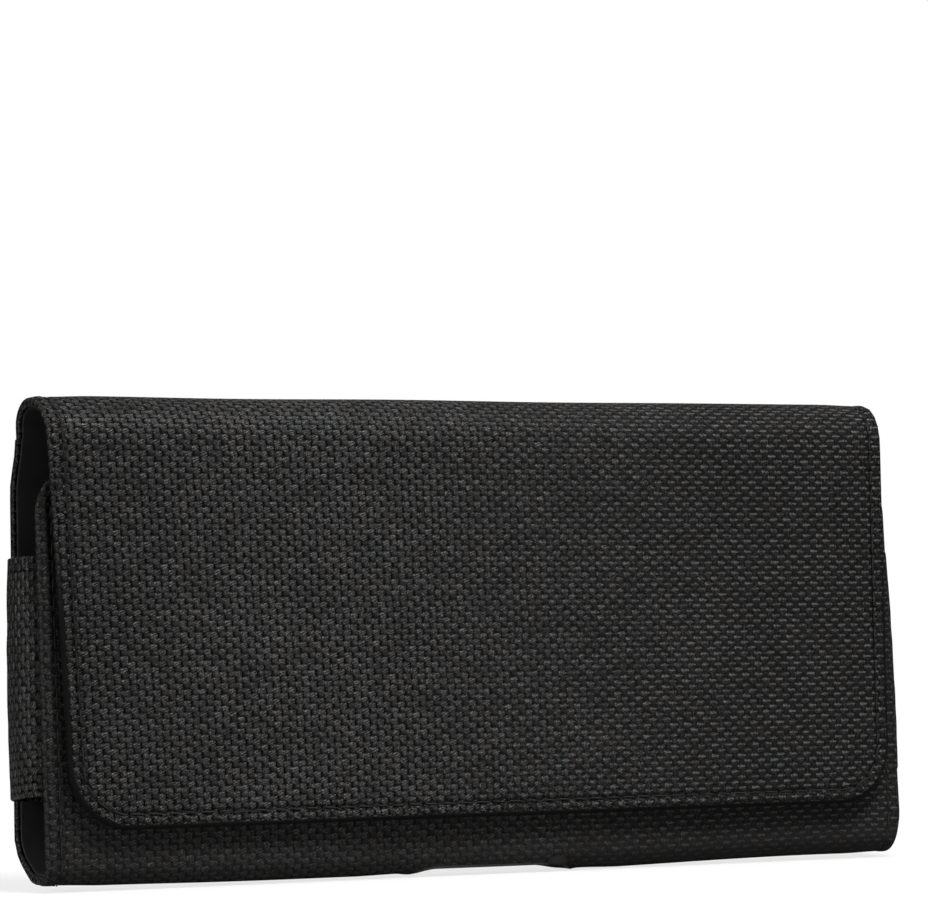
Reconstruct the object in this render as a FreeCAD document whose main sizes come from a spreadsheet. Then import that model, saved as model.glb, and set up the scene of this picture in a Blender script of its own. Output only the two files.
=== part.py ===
import FreeCAD, Part
import math
import os

import Sketcher
from FreeCAD import Placement, Rotation, Vector

# Horizontal belt holster for a phone, with a closing flap.
# +X runs along its width, the front faces -Y and +Z is up.
# The sketches measure depth from the outside of the back and height from the underside of the
# pouch. Each finished piece is then shifted, so that the origin is the middle of the belt tunnel.

SIZES = [
    ("width", 186.0, "pouch, side to side"),
    ("height", 94.5, "underside to the top of the arch"),
    ("low_depth", 19.7, "back to front at the underside"),
    ("mouth_depth", 15.0, "back to front at the mouth"),
    ("mouth_drop", 13.5, "top edge of the front panel, below the top of the arch"),
    ("back_round", 12.0, "outer bend from the back to the bottom"),
    ("front_round", 4.0, "outer bend from the bottom to the front"),
    ("mouth_corner", 10.0, "rounding of the front panel's upper corners"),
    ("cover", 0.9, "woven outer layer"),
    ("board", 1.1, "stiffener between the cover and the lining"),
    ("lining", 0.5, "smooth inner layer"),
    ("hem", 1.2, "width of the turned edge of the cover"),
    ("arch_rise", 8.0, "top of the arch above the line where the flap starts to turn"),
    ("hinge_slit", 0.3, "slit between the back and the flap at that line"),
    ("flap_gap", 1.0, "air between the front panel and the closed flap"),
    ("shoulder", 7.5, "outer bend from the back to the arch"),
    ("brow", 9.5, "outer bend from the arch to the flap's front"),
    ("flap_low", 10.8, "lower edge of the flap"),
    ("flap_corner", 12.0, "rounding of the flap's lower corners"),
    ("flap_taper", 0.11, "how fast the flap's sides draw in towards the front"),
    ("flap_narrowing", 2.3, "how much each side draws in from the arch to the lower edge"),
    ("notch_length", 38.0, "push-out cut in the bottom edge"),
    ("notch_corner", 5.0, "rounding of the cut's corners"),
    ("notch_back", 7.0, "rear edge of the cut"),
    ("notch_lip", 1.8, "front edge of the cut, above the underside"),
    ("notch_overrun", 1.0, "how far the rounded cut runs past the front"),
    ("strap_bulge", 4.4, "how far the side strap stands out of the panels"),
    ("strap_thick", 1.0, "side strap"),
    ("strap_bend", 4.8, "outer bend of the side strap"),
    ("strap_tab", 10.4, "sewn end of the side strap inside a panel"),
    ("strap_low_front", 17.7, "lower edge of the side strap at the front"),
    ("strap_low_back", 16.0, "lower edge of the side strap at the back"),
    ("strap_drop_front", 31.1, "side strap's upper edge at the front, below the top of the arch"),
    ("strap_drop_back", 31.5, "side strap's upper edge at the back, below the top of the arch"),
    ("tunnel_raise", 4.75, "middle of the belt tunnel, above the middle of the back"),
    ("belt_room", 50.0, "height of the belt tunnel"),
    ("belt_gap", 6.0, "depth of the belt tunnel"),
    ("loop_width", 28.0, "belt loop"),
    ("loop_spacing", 104.0, "middle to middle of the belt loops"),
    ("loop_thick", 1.6, "belt loop webbing"),
    ("loop_tab", 10.0, "sewn end of a belt loop"),
    ("loop_rise", 8.0, "height over which a belt loop leaves the back"),
    ("loop_bend", 4.0, "bend of a belt loop"),
    ("clip_width", 38.0, "steel clip"),
    ("clip_steel", 1.2, "thickness of the clip's steel"),
    ("clip_room", 5.4, "room for the belt in the clip"),
    ("clip_top", 28.0, "top of the clip's bend, above the middle of the tunnel"),
    ("clip_foot", 19.0, "lower edge of the clip's inner leg, below the middle of the tunnel"),
    ("clip_hook", 15.0, "where the clip's tongue turns in, below the middle of the tunnel"),
    ("clip_nip", 22.0, "narrowest place of the clip, below the middle of the tunnel"),
    ("clip_tip", 29.0, "lower end of the tongue, below the middle of the tunnel"),
    ("hook_bend", 3.0, "bend where the tongue turns in"),
    ("nip_bend", 2.5, "bend at the clip's narrowest place"),
    ("nip_depth", 2.2, "how far the tongue turns in"),
    ("tip_flare", 3.4, "how far the tip turns out again"),
    ("clip_corner", 5.0, "rounding of the clip's lower corners"),
    ("plate_width", 34.0, "backing plate behind the clip"),
    ("plate_height", 42.0, "backing plate behind the clip"),
    ("plate_thick", 1.0, "backing plate behind the clip"),
    ("plate_raise", 4.0, "middle of the backing plate, above the middle of the tunnel"),
    ("rivet_radius", 1.5, "rivet shank"),
    ("rivet_head", 3.2, "radius of the rivet head"),
    ("rivet_dome", 0.8, "height of the rivet head"),
    ("rivet_span", 24.0, "rivets, side to side"),
    ("rivet_rise", 30.0, "rivets, one above the other"),
    ("magnet_radius", 6.0, "closing magnets"),
    ("magnet_thick", 1.0, "closing magnets"),
    ("magnet_spacing", 96.0, "middle to middle of the closing magnets"),
    ("magnet_level", 24.0, "closing magnets above the underside"),
    ("play", 0.1, "clearance of an enclosed piece in its pocket"),
    ("spare", 20.0, "how far cutting shapes run past the piece"),
]

PLANES = {
    "XY": Rotation(),
    "YZ": Rotation(Vector(1, 1, 1), 120),
    "XZ": Rotation(Vector(1, 0, 0), 90),
}
NODES = []


class Size:
    """A length together with its expression in terms of the sheet."""

    def __init__(self, value, text):
        self.value = value
        self.text = text

    def joined(self, sign, other, value):
        return Size(value, "(%s %s %s)" % (self.text, sign, other.text))

    def __add__(self, other):
        other = as_size(other)
        return self.joined("+", other, self.value + other.value)

    def __sub__(self, other):
        other = as_size(other)
        return self.joined("-", other, self.value - other.value)

    def __mul__(self, other):
        other = as_size(other)
        return self.joined("*", other, self.value * other.value)

    def __truediv__(self, other):
        other = as_size(other)
        return self.joined("/", other, self.value / other.value)

    def __neg__(self):
        return as_size(0) - self

    def root(self):
        return Size(math.sqrt(self.value), "sqrt(%s)" % self.text)

    def slope_angle(self):
        return Size(math.degrees(math.atan(self.value)), "atan(%s)" % self.text)


def as_size(number):
    return number if isinstance(number, Size) else Size(float(number), repr(float(number)))


class Named:
    """The driving dimensions by name."""


doc = FreeCAD.newDocument("belt_holster")
sheet = doc.addObject("Spreadsheet::Sheet", "Sizes")
d = Named()
for row, (alias, value, note) in enumerate(SIZES, start=1):
    sheet.set("A%d" % row, note)
    sheet.set("B%d" % row, str(value))
    sheet.setAlias("B%d" % row, alias)
    setattr(d, alias, Size(value, "Sizes." + alias))
doc.recompute()

# Values worked out from the driving dimensions

sheet_thick = d.cover + d.board + d.lining
half = d.width / 2
hinge_level = d.height - d.arch_rise
front_height = d.height - d.mouth_drop
tunnel_level = hinge_level / 2 + d.tunnel_raise
plate_level = tunnel_level + d.plate_raise
lean = (d.low_depth - d.mouth_depth) / front_height
slant = (lean * lean + 1).root()
front_air = sheet_thick + d.flap_gap
flap_reach = d.low_depth + front_air * slant
tool_depth = d.low_depth + d.spare
hinge_top = hinge_level - d.hinge_slit
mid_depth = d.mouth_depth / 2


def bind(item, name, size):
    item.setExpression(name, as_size(size).text)


# Sketches and simple operations

def corner_cut(before, at, after, radius):
    """How far a rounding reaches along both lines at a corner, and its middle point."""
    back = (before - at).normalize()
    ahead = (after - at).normalize()
    half_angle = back.getAngle(ahead) / 2
    reach = radius / math.tan(half_angle)
    middle = (back + ahead).normalize() * (radius / math.sin(half_angle) - radius)
    return at + back * reach, at + middle, at + ahead * reach


def draw(sketch, corners):
    """A closed outline through corners given as (across, up, radius)."""
    places = [Vector(as_size(across).value, as_size(up).value, 0) for across, up, radius in corners]
    count = len(corners)
    cuts = []
    for index, (across, up, radius) in enumerate(corners):
        at = places[index]
        point = sketch.addGeometry(Part.Point(at), True)
        rule = sketch.addConstraint(Sketcher.Constraint("DistanceX", -1, 1, point, 1, at.x))
        bind(sketch, "Constraints[%d]" % rule, across)
        rule = sketch.addConstraint(Sketcher.Constraint("DistanceY", -1, 1, point, 1, at.y))
        bind(sketch, "Constraints[%d]" % rule, up)
        radius = as_size(radius)
        if radius.value > 0:
            before, middle, after = corner_cut(places[index - 1], at, places[(index + 1) % count],
                                               radius.value)
        else:
            before, middle, after = at, None, at
        cuts.append((point, radius, before, middle, after))
    lines = []
    for index in range(count):
        start = cuts[index][4]
        end = cuts[(index + 1) % count][2]
        lines.append(sketch.addGeometry(Part.LineSegment(start, end), False))
    for index, (point, radius, before, middle, after) in enumerate(cuts):
        arriving = lines[index - 1]
        leaving = lines[index]
        if middle is None:
            sketch.addConstraint(Sketcher.Constraint("Coincident", arriving, 2, point, 1))
            sketch.addConstraint(Sketcher.Constraint("Coincident", leaving, 1, point, 1))
            continue
        turns_left = (middle - before).cross(after - middle).z > 0
        ends = (before, middle, after) if turns_left else (after, middle, before)
        arc = sketch.addGeometry(Part.Arc(*ends), False)
        first, last = (1, 2) if turns_left else (2, 1)
        sketch.addConstraint(Sketcher.Constraint("Tangent", arriving, 2, arc, first))
        sketch.addConstraint(Sketcher.Constraint("Tangent", leaving, 1, arc, last))
        sketch.addConstraint(Sketcher.Constraint("PointOnObject", point, 1, arriving))
        sketch.addConstraint(Sketcher.Constraint("PointOnObject", point, 1, leaving))
        rule = sketch.addConstraint(Sketcher.Constraint("Radius", arc, radius.value))
        bind(sketch, "Constraints[%d]" % rule, radius)
    return sketch


def outline(name, plane, corners, depth=0):
    """A sketch in one of the main planes, moved by the depth along the axis square to it."""
    sketch = doc.addObject("Sketcher::SketchObject", name)
    sketch.Placement = Placement(Vector(), PLANES[plane])
    axis = {"XY": "z", "YZ": "x", "XZ": "y"}[plane]
    bind(sketch, ".Placement.Base." + axis, depth)
    return draw(sketch, corners)


def extruded(name, base, direction, ahead, behind):
    """A solid from a sketch, drawn along a direction, or square to the sketch if it is None."""
    item = doc.addObject("Part::Extrusion", name)
    item.Base = base
    item.DirMode = "Custom" if direction else "Normal"
    item.Dir = direction or Vector(0, 0, 1)
    bind(item, "LengthFwd", ahead)
    bind(item, "LengthRev", behind)
    item.Solid = True
    return item


def box(name, low, high):
    item = doc.addObject("Part::Box", name)
    for side, axis, start, end in zip(("Length", "Width", "Height"), "xyz", low, high):
        bind(item, side, as_size(end) - start)
        bind(item, ".Placement.Base." + axis, start)
    return item


def rod(name, across, up, radius, start, end):
    """A cylinder along Y."""
    item = doc.addObject("Part::Cylinder", name)
    item.Placement = Placement(Vector(), Rotation(Vector(1, 0, 0), -90))
    bind(item, "Radius", radius)
    bind(item, "Height", as_size(end) - start)
    for axis, place in zip("xyz", (across, start, up)):
        bind(item, ".Placement.Base." + axis, place)
    return item


def cut(name, base, *tools):
    for number, tool in enumerate(tools, start=1):
        item = doc.addObject("Part::Cut", name if number == len(tools) else "%s_%d" % (name, number))
        item.Base = base
        item.Tool = tool
        base = item
    return base


def common(name, *shapes):
    item = doc.addObject("Part::MultiCommon", name)
    item.Shapes = list(shapes)
    return item


def fused(name, *shapes):
    item = doc.addObject("Part::MultiFuse", name)
    item.Shapes = list(shapes)
    return item


def lofted(name, first, last):
    item = doc.addObject("Part::Loft", name)
    item.Sections = [first, last]
    item.Solid = True
    item.Ruled = True
    return item


def mirrored(name, source, normal, base=None):
    item = doc.addObject("Part::Mirroring", name)
    item.Source = source
    item.Normal = normal
    if base is not None:
        bind(item, "Base.z", base)
    return item


def finished(name, item):
    """Names a piece and moves it to the part's own frame."""
    item.Label = name
    bind(item, ".Placement.Base.y", -d.belt_gap / 2)
    bind(item, ".Placement.Base.z", -tunnel_level)
    NODES.append(item)
    return item


# Nested layers of a bent sheet

class Layers:
    """Solids with one profile, each as deep inside it as the layers above are thick."""

    def __init__(self, name, profile, reach):
        self.name = name
        self.profile = profile
        self.reach = reach
        self.cores = {}

    def core(self, depth):
        """The solid inside the profile, a given depth below its surface."""
        depth = as_size(depth)
        if depth.text not in self.cores:
            name = "%s_core_%d" % (self.name, len(self.cores))
            face = outline(name + "_profile", "YZ", self.profile(depth))
            self.cores[depth.text] = extruded(name, face, Vector(1, 0, 0), self.reach, self.reach)
        return self.cores[depth.text]

    def between(self, name, outer, inner, room):
        """The layer from one depth to another, within the given room."""
        skin = cut(name + "_skin", self.core(outer), self.core(inner))
        return common(name + "_trimmed", skin, room)


# Pouch

def pouch_profile(depth):
    """Corners of the pouch's section, a given depth below its surface."""
    top = d.height + d.spare
    reach = d.low_depth - depth * slant
    return [
        (-depth, top, 0),
        (-depth, depth, d.back_round - depth),
        (-(reach - lean * depth), depth, d.front_round - depth),
        (-(reach - lean * top), top, 0),
    ]


def pouch_room(name, inset):
    """What the pouch's sheet may fill, its edges drawn in by the inset."""
    side = half - inset
    top = front_height - inset
    corner = d.mouth_corner - inset
    face = outline(name + "_front_outline", "XZ", [
        (-side, -d.spare, 0),
        (side, -d.spare, 0),
        (side, top, corner),
        (-side, top, corner),
    ])
    front = extruded(name + "_front", face, Vector(0, -1, 0), tool_depth, -mid_depth)
    back = box(name + "_back", (-side, -mid_depth, -d.spare), (side, d.spare, hinge_top))
    return cut(name, fused(name + "_blank", front, back), notch(name + "_notch", inset))


def notch(name, growth):
    """The push-out cut: square to the sheet at both bends, with rounded corners."""
    side = d.notch_length / 2 + growth
    rear = d.notch_back - growth
    front = d.low_depth + d.notch_overrun
    rear_across = d.back_round - rear
    rear_drop = (d.back_round * d.back_round - rear_across * rear_across).root()
    front_drop = d.front_round - d.notch_lip - growth
    front_across = (d.front_round * d.front_round - front_drop * front_drop).root()
    section = outline(name + "_section", "YZ", [
        (-d.back_round, d.back_round, 0),
        (-d.back_round + rear_across * 2, d.back_round - rear_drop * 2, 0),
        (-(d.low_depth - d.front_round) - front_across * 2, d.front_round - front_drop * 2, 0),
        (-(d.low_depth - d.front_round), d.front_round, 0),
    ])
    plan = outline(name + "_plan", "XY", [
        (-side, -front, d.notch_corner),
        (side, -front, d.notch_corner),
        (side, -rear, d.notch_corner),
        (-side, -rear, d.notch_corner),
    ])
    slot = extruded(name + "_slot", section, Vector(1, 0, 0), half, half)
    well = extruded(name + "_well", plan, Vector(0, 0, 1), d.spare, d.spare)
    return common(name, slot, well)


def rivet_holes(name, radius):
    """Rods along Y where the clip's rivets go, through the back and the clip's inner leg."""
    rods = []
    for side in (-1, 1):
        for level in (-1, 1):
            rods.append(rod("%s_%d" % (name, len(rods)), d.rivet_span / 2 * side,
                            plate_level + d.rivet_rise / 2 * level, radius,
                            -(d.cover + d.board), d.clip_steel + d.rivet_dome))
    return fused(name, *rods)


def magnet_rods(name, radius):
    """Rods along Y through the front, where the closing magnets are."""
    rods = []
    for side in (-1, 1):
        rods.append(rod("%s_%d" % (name, len(rods)), d.magnet_spacing / 2 * side, d.magnet_level,
                        radius, -tool_depth, -mid_depth))
    return rods


def magnets(prefix, layers, rods):
    """A pair of discs that lie in the middle of the board of the given sheet."""
    depth = d.cover + (d.board - d.magnet_thick) / 2
    skin = cut(prefix + "_disc_skin", layers.core(depth), layers.core(depth + d.magnet_thick))
    for side, shaft in zip(("left", "right"), rods):
        name = "%s_magnet_%s" % (prefix, side)
        finished(name, common(name, skin, shaft))


def make_pouch():
    layers = Layers("pouch", pouch_profile, half)
    full = pouch_room("pouch_edge", as_size(0))
    room = pouch_room("pouch_recess", d.hem)
    board_depth = d.cover + d.board
    whole = layers.between("pouch_whole", 0, sheet_thick, full)
    recess = layers.between("pouch_inside", d.cover, sheet_thick, room)
    holes = rivet_holes("rivet_holes", d.rivet_radius)
    finished("pouch_cover", cut("pouch_cover", whole, recess, holes))

    board = layers.between("pouch_board", d.cover, board_depth, room)
    pockets = magnet_rods("front_pocket", d.magnet_radius + d.play)
    plate_side = d.plate_width / 2 + d.play
    plate_reach = d.plate_height / 2 + d.play
    pocket = box("plate_pocket", (-plate_side, -board_depth, plate_level - plate_reach),
                 (plate_side, 0, plate_level + plate_reach))
    finished("pouch_interlining", cut("pouch_interlining", board, pocket, *pockets))
    finished("pouch_lining", layers.between("pouch_lining", board_depth, sheet_thick, room))

    rods = magnet_rods("front_disc", d.magnet_radius)
    magnets("front", layers, rods)
    return holes


# Flap

def flap_profile(depth):
    """Corners of the flap's section, a given depth below its surface."""
    top = d.height - depth
    low = -d.spare
    reach = flap_reach - depth * slant
    return [
        (-depth, low, 0),
        (-depth, top, d.shoulder - depth),
        (-(reach - lean * top), top, d.brow - depth),
        (-(reach - lean * low), low, 0),
    ]


def flap_room(name, inset):
    """What the flap's sheet may fill: its sides draw in towards the front and downwards."""
    faces = []
    for place, depth in (("behind", as_size(0) - d.play), ("ahead", tool_depth)):
        side = half - inset - d.flap_taper * depth
        faces.append(outline("%s_%s" % (name, place), "XZ", [
            (-(side - d.flap_narrowing), d.flap_low + inset, d.flap_corner - inset),
            (side - d.flap_narrowing, d.flap_low + inset, d.flap_corner - inset),
            (side, d.height + d.play, 0),
            (-side, d.height + d.play, 0),
        ], -depth))
    block = lofted(name + "_block", *faces)
    face = outline(name + "_section", "YZ", [
        (d.spare, hinge_level, 0),
        (d.spare, d.height + d.spare, 0),
        (-tool_depth - d.spare, d.height + d.spare, 0),
        (-tool_depth - d.spare, -d.spare, 0),
        (-mid_depth, -d.spare, 0),
        (-mid_depth, hinge_level, 0),
    ])
    return common(name, block, extruded(name + "_region", face, Vector(1, 0, 0), half, half))


def make_flap():
    layers = Layers("flap", flap_profile, half)
    full = flap_room("flap_edge", as_size(0))
    room = flap_room("flap_recess", d.hem)
    board_depth = d.cover + d.board
    whole = layers.between("flap_whole", 0, sheet_thick, full)
    recess = layers.between("flap_inside", d.cover, sheet_thick, room)
    finished("flap_cover", cut("flap_cover", whole, recess))

    board = layers.between("flap_board", d.cover, board_depth, room)
    pockets = magnet_rods("flap_pocket", d.magnet_radius + d.play)
    finished("flap_interlining", cut("flap_interlining", board, *pockets))
    finished("flap_lining", layers.between("flap_lining", board_depth, sheet_thick, room))
    magnets("flap", layers, magnet_rods("flap_disc", d.magnet_radius))


# Side straps, each a half round from one panel's lining to the other's

def strap_core(name, inset, inner):
    """The space inside the strap's outer face, a given distance in from it.

    Its rear stands upright and its front leans with the front panel, so it is where an upright
    block and a leaning one meet.
    """
    outer = half + d.strap_bulge - inset
    bend = d.strap_bend - inset
    back = -sheet_thick - inset
    front = (-d.low_depth + sheet_thick * slant + inset) / slant
    rear_face = outline(name + "_rear_plan", "XY", [
        (inner, -tool_depth, 0),
        (outer, -tool_depth, 0),
        (outer, back, bend),
        (inner, back, 0),
    ])
    fore_face = outline(name + "_fore_plan", "XY", [
        (inner, front, 0),
        (outer, front, bend),
        (outer, d.spare, 0),
        (inner, d.spare, 0),
    ])
    fore_face.Placement = Placement(Vector(), Rotation(Vector(1, 0, 0), -lean.value))
    bind(fore_face, ".Placement.Rotation.Angle", (-lean).slope_angle())
    rear = extruded(name + "_rear", rear_face, None, d.height, as_size(0))
    fore = extruded(name + "_fore", fore_face, None, d.height, as_size(0))
    return common(name, rear, fore)


def make_side_straps():
    inner = half - d.strap_tab
    outside = strap_core("strap_outside", as_size(0), inner)
    inside = strap_core("strap_inside", d.strap_thick, inner - d.spare)
    face = outline("strap_side", "YZ", [
        (0, d.strap_low_back, 0),
        (0, d.height - d.strap_drop_back, 0),
        (-d.low_depth, d.height - d.strap_drop_front, 0),
        (-d.low_depth, d.strap_low_front, 0),
    ])
    slab = extruded("strap_slab", face, Vector(1, 0, 0), d.width, as_size(0))
    right = common("strap_right", cut("strap_wall", outside, inside), slab)
    finished("side_gusset_right", right)
    left = mirrored("strap_left", right, Vector(1, 0, 0))
    NODES.append(left)
    left.Label = "side_gusset_left"


def make_belt_loops():
    """Two upright straps, sewn to the back at both ends."""
    low = tunnel_level - d.belt_room / 2
    high = tunnel_level + d.belt_room / 2
    out = d.belt_gap
    rise = d.loop_rise
    skin = d.loop_thick
    shift = skin * ((rise * rise + out * out).root() - rise) / out
    for name, side in (("belt_loop_left", -1), ("belt_loop_right", 1)):
        face = outline(name + "_section", "YZ", [
            (0, low - d.loop_tab, 0),
            (0, low, d.loop_bend),
            (out, low + rise, d.loop_bend),
            (out, high - rise, d.loop_bend),
            (0, high, d.loop_bend),
            (0, high + d.loop_tab, 0),
            (skin, high + d.loop_tab, 0),
            (skin, high + shift, d.loop_bend),
            (out + skin, high - rise + shift, d.loop_bend),
            (out + skin, low + rise - shift, d.loop_bend),
            (skin, low - shift, d.loop_bend),
            (skin, low - d.loop_tab, 0),
        ], d.loop_spacing / 2 * side)
        item = extruded(name, face, Vector(1, 0, 0), d.loop_width / 2, d.loop_width / 2)
        finished(name, item)


def make_clip(holes):
    """One strip of spring steel, bent over at the top, with a nip and a flared tip."""
    steel = d.clip_steel
    out = steel * 2 + d.clip_room
    bend = out / 2 - d.play
    inner_bend = bend - steel
    top = tunnel_level + d.clip_top
    foot = tunnel_level - d.clip_foot
    hook = tunnel_level - d.clip_hook
    nip = tunnel_level - d.clip_nip
    tip = tunnel_level - d.clip_tip
    nip_out = out - d.nip_depth
    tip_out = nip_out + d.tip_flare
    face = outline("clip_section", "YZ", [
        (0, foot, 0),
        (0, top, bend),
        (out, top, bend),
        (out, hook, d.hook_bend),
        (nip_out, nip, d.nip_bend),
        (tip_out, tip, 0),
        (tip_out - steel, tip, 0),
        (nip_out - steel, nip, d.nip_bend),
        (out - steel, hook, d.hook_bend),
        (out - steel, top - steel, inner_bend),
        (steel, top - steel, inner_bend),
        (steel, foot, 0),
    ])
    side = d.clip_width / 2
    strip = extruded("clip_strip", face, Vector(1, 0, 0), side, side)
    parting = steel + d.clip_room / 2
    inner_plan = clip_plan("clip_inner_plan", side, foot)
    inner = extruded("clip_inner_room", inner_plan, Vector(0, -1, 0), d.play, parting)
    outer_plan = clip_plan("clip_outer_plan", side, tip)
    outer = extruded("clip_outer_room", outer_plan, Vector(0, -1, 0), -parting, out + d.spare)
    shaped = common("clip_shaped", strip, fused("clip_room", inner, outer))
    finished("belt_clip", cut("belt_clip", shaped, holes))


def clip_plan(name, side, low):
    """Outline of the clip seen from behind, with its lower corners rounded."""
    high = tunnel_level + d.clip_top + d.spare
    return outline(name, "XZ", [
        (-side, low, d.clip_corner),
        (side, low, d.clip_corner),
        (side, high, 0),
        (-side, high, 0),
    ])


def make_backing_plate(holes):
    side = d.plate_width / 2
    reach = d.plate_height / 2
    blank = box("plate_blank", (-side, -(d.cover + d.plate_thick), plate_level - reach),
                (side, -d.cover, plate_level + reach))
    finished("clip_backing_plate", cut("clip_backing_plate", blank, holes))


def make_rivets():
    """Four domed rivets, turned about their own axes."""
    body = doc.addObject("PartDesign::Body", "rivet")
    plane = next(item for item in body.Origin.OriginFeatures if item.Role == "XY_Plane")
    sketch = body.newObject("Sketcher::SketchObject", "rivet_section")
    sketch.AttachmentSupport = [(plane, "")]
    sketch.MapMode = "FlatFace"
    bind(sketch, ".AttachmentOffset.Base.x", d.rivet_span / 2)
    bind(sketch, ".AttachmentOffset.Base.z", plate_level + d.rivet_rise / 2)
    top = d.clip_steel + d.rivet_dome
    draw(sketch, [
        (0, -(d.cover + d.plate_thick), 0),
        (d.rivet_radius, -(d.cover + d.plate_thick), 0),
        (d.rivet_radius, d.clip_steel, 0),
        (d.rivet_head, d.clip_steel, 0),
        (d.rivet_head, top - d.rivet_dome / 2, 0),
        (d.rivet_head - d.rivet_dome, top, 0),
        (0, top, 0),
    ])
    turned = body.newObject("PartDesign::Revolution", "rivet_turned")
    turned.Profile = sketch
    turned.ReferenceAxis = (sketch, ["V_Axis"])
    turned.Angle = 360
    body.Tip = turned
    beside = mirrored("rivet_beside", body, Vector(1, 0, 0))
    below = mirrored("rivet_below", body, Vector(0, 0, 1), plate_level)
    across = mirrored("rivet_across", beside, Vector(0, 0, 1), plate_level)
    group = doc.addObject("Part::Compound", "rivets")
    group.Links = [body, beside, below, across]
    finished("clip_rivets", group)


def check_objects():
    for item in doc.Objects:
        if "Invalid" in item.State or "Error" in item.State:
            raise RuntimeError("failed: %s %s" % (item.Label, item.State))
    for item in NODES:
        if item.Shape.isNull() or not item.Shape.isValid():
            raise RuntimeError("no valid shape: " + item.Label)


def export_nodes():
    os.makedirs("parts", exist_ok=True)
    for item in NODES:
        item.Shape.exportStep("parts/%s.step" % item.Label)
        print(item.Label, "solids", len(item.Shape.Solids), "volume %.1f" % item.Shape.Volume)


holes = make_pouch()
make_flap()
make_side_straps()
make_belt_loops()
make_clip(holes)
make_backing_plate(holes)
make_rivets()
doc.recompute()
check_objects()
export_nodes()
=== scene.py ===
import math
from functools import partialmethod

import bpy
import numpy as np
from mathutils import Matrix, Vector


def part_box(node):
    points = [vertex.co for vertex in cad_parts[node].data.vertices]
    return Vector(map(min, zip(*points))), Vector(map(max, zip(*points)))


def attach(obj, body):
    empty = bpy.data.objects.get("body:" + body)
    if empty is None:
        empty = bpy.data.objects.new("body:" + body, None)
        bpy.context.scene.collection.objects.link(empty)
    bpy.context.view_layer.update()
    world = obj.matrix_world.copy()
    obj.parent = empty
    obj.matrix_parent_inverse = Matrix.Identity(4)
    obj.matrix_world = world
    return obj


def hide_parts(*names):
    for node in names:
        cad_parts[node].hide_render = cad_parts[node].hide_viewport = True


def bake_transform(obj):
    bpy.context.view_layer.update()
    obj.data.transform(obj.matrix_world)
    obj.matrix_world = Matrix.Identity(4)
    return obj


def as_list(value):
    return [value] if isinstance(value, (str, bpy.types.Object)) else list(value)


# Woven nylon belt holster for a phone, with a closing flap.
# The pieces are drawn in millimetres: x along the width, depth from the outside of the back
# (negative towards the front) and height from the underside. placed() moves them to the frame.

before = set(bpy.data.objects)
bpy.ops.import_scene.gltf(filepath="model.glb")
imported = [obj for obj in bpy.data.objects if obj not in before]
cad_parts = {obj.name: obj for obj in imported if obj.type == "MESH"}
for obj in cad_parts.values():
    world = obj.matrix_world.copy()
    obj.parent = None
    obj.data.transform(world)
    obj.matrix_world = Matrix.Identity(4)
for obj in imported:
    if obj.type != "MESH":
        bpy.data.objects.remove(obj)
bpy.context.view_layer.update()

# The main sizes come from the frame's boxes, and the others are given in millimetres

MM = 0.001
cover_low, cover_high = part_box("pouch_cover")
flap_low, flap_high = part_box("flap_cover")
gusset_low, gusset_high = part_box("side_gusset_right")
loop_low, loop_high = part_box("belt_loop_right")
BACK_Y = cover_high.y
UNDERSIDE_Z = cover_low.z

HALF = cover_high.x / MM
HEIGHT = (flap_high.z - UNDERSIDE_Z) / MM
HINGE = (cover_high.z - UNDERSIDE_Z) / MM
LOW_DEPTH = 19.7
MOUTH_DEPTH = 15.0
FRONT_TOP = 81.0
BACK_BEND = 9.5
FRONT_BEND = 4.0
SHOULDER_BEND = 6.0
BROW_BEND = 9.5
MOUTH_CORNER = 10.0
FLAP_CORNER = 12.0
FLAP_LOW = (flap_low.z - UNDERSIDE_Z) / MM
FLAP_TAPER = 0.11
FLAP_NARROWING = 2.3
FLAP_RIM = 0.9
FLAP_GAP = 1.0
LEAN = (LOW_DEPTH - MOUTH_DEPTH) / FRONT_TOP
SLANT = math.hypot(1, LEAN)
SHEET_THICK = 2.5
LINING_THICK = 0.5
FLAP_REACH = LOW_DEPTH + (SHEET_THICK + FLAP_GAP) * SLANT
RIM = 1.2
STITCH_INSET = 2.9
TURN_IN = 1.1


def placed(x, depth, height):
    """Points of the drawing as an array of places in the frame, in metres."""
    x, depth, height = np.broadcast_arrays(x, depth, height)
    return np.stack([x * MM, depth * MM + BACK_Y, height * MM + UNDERSIDE_Z], axis=-1)


# Outlines

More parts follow.
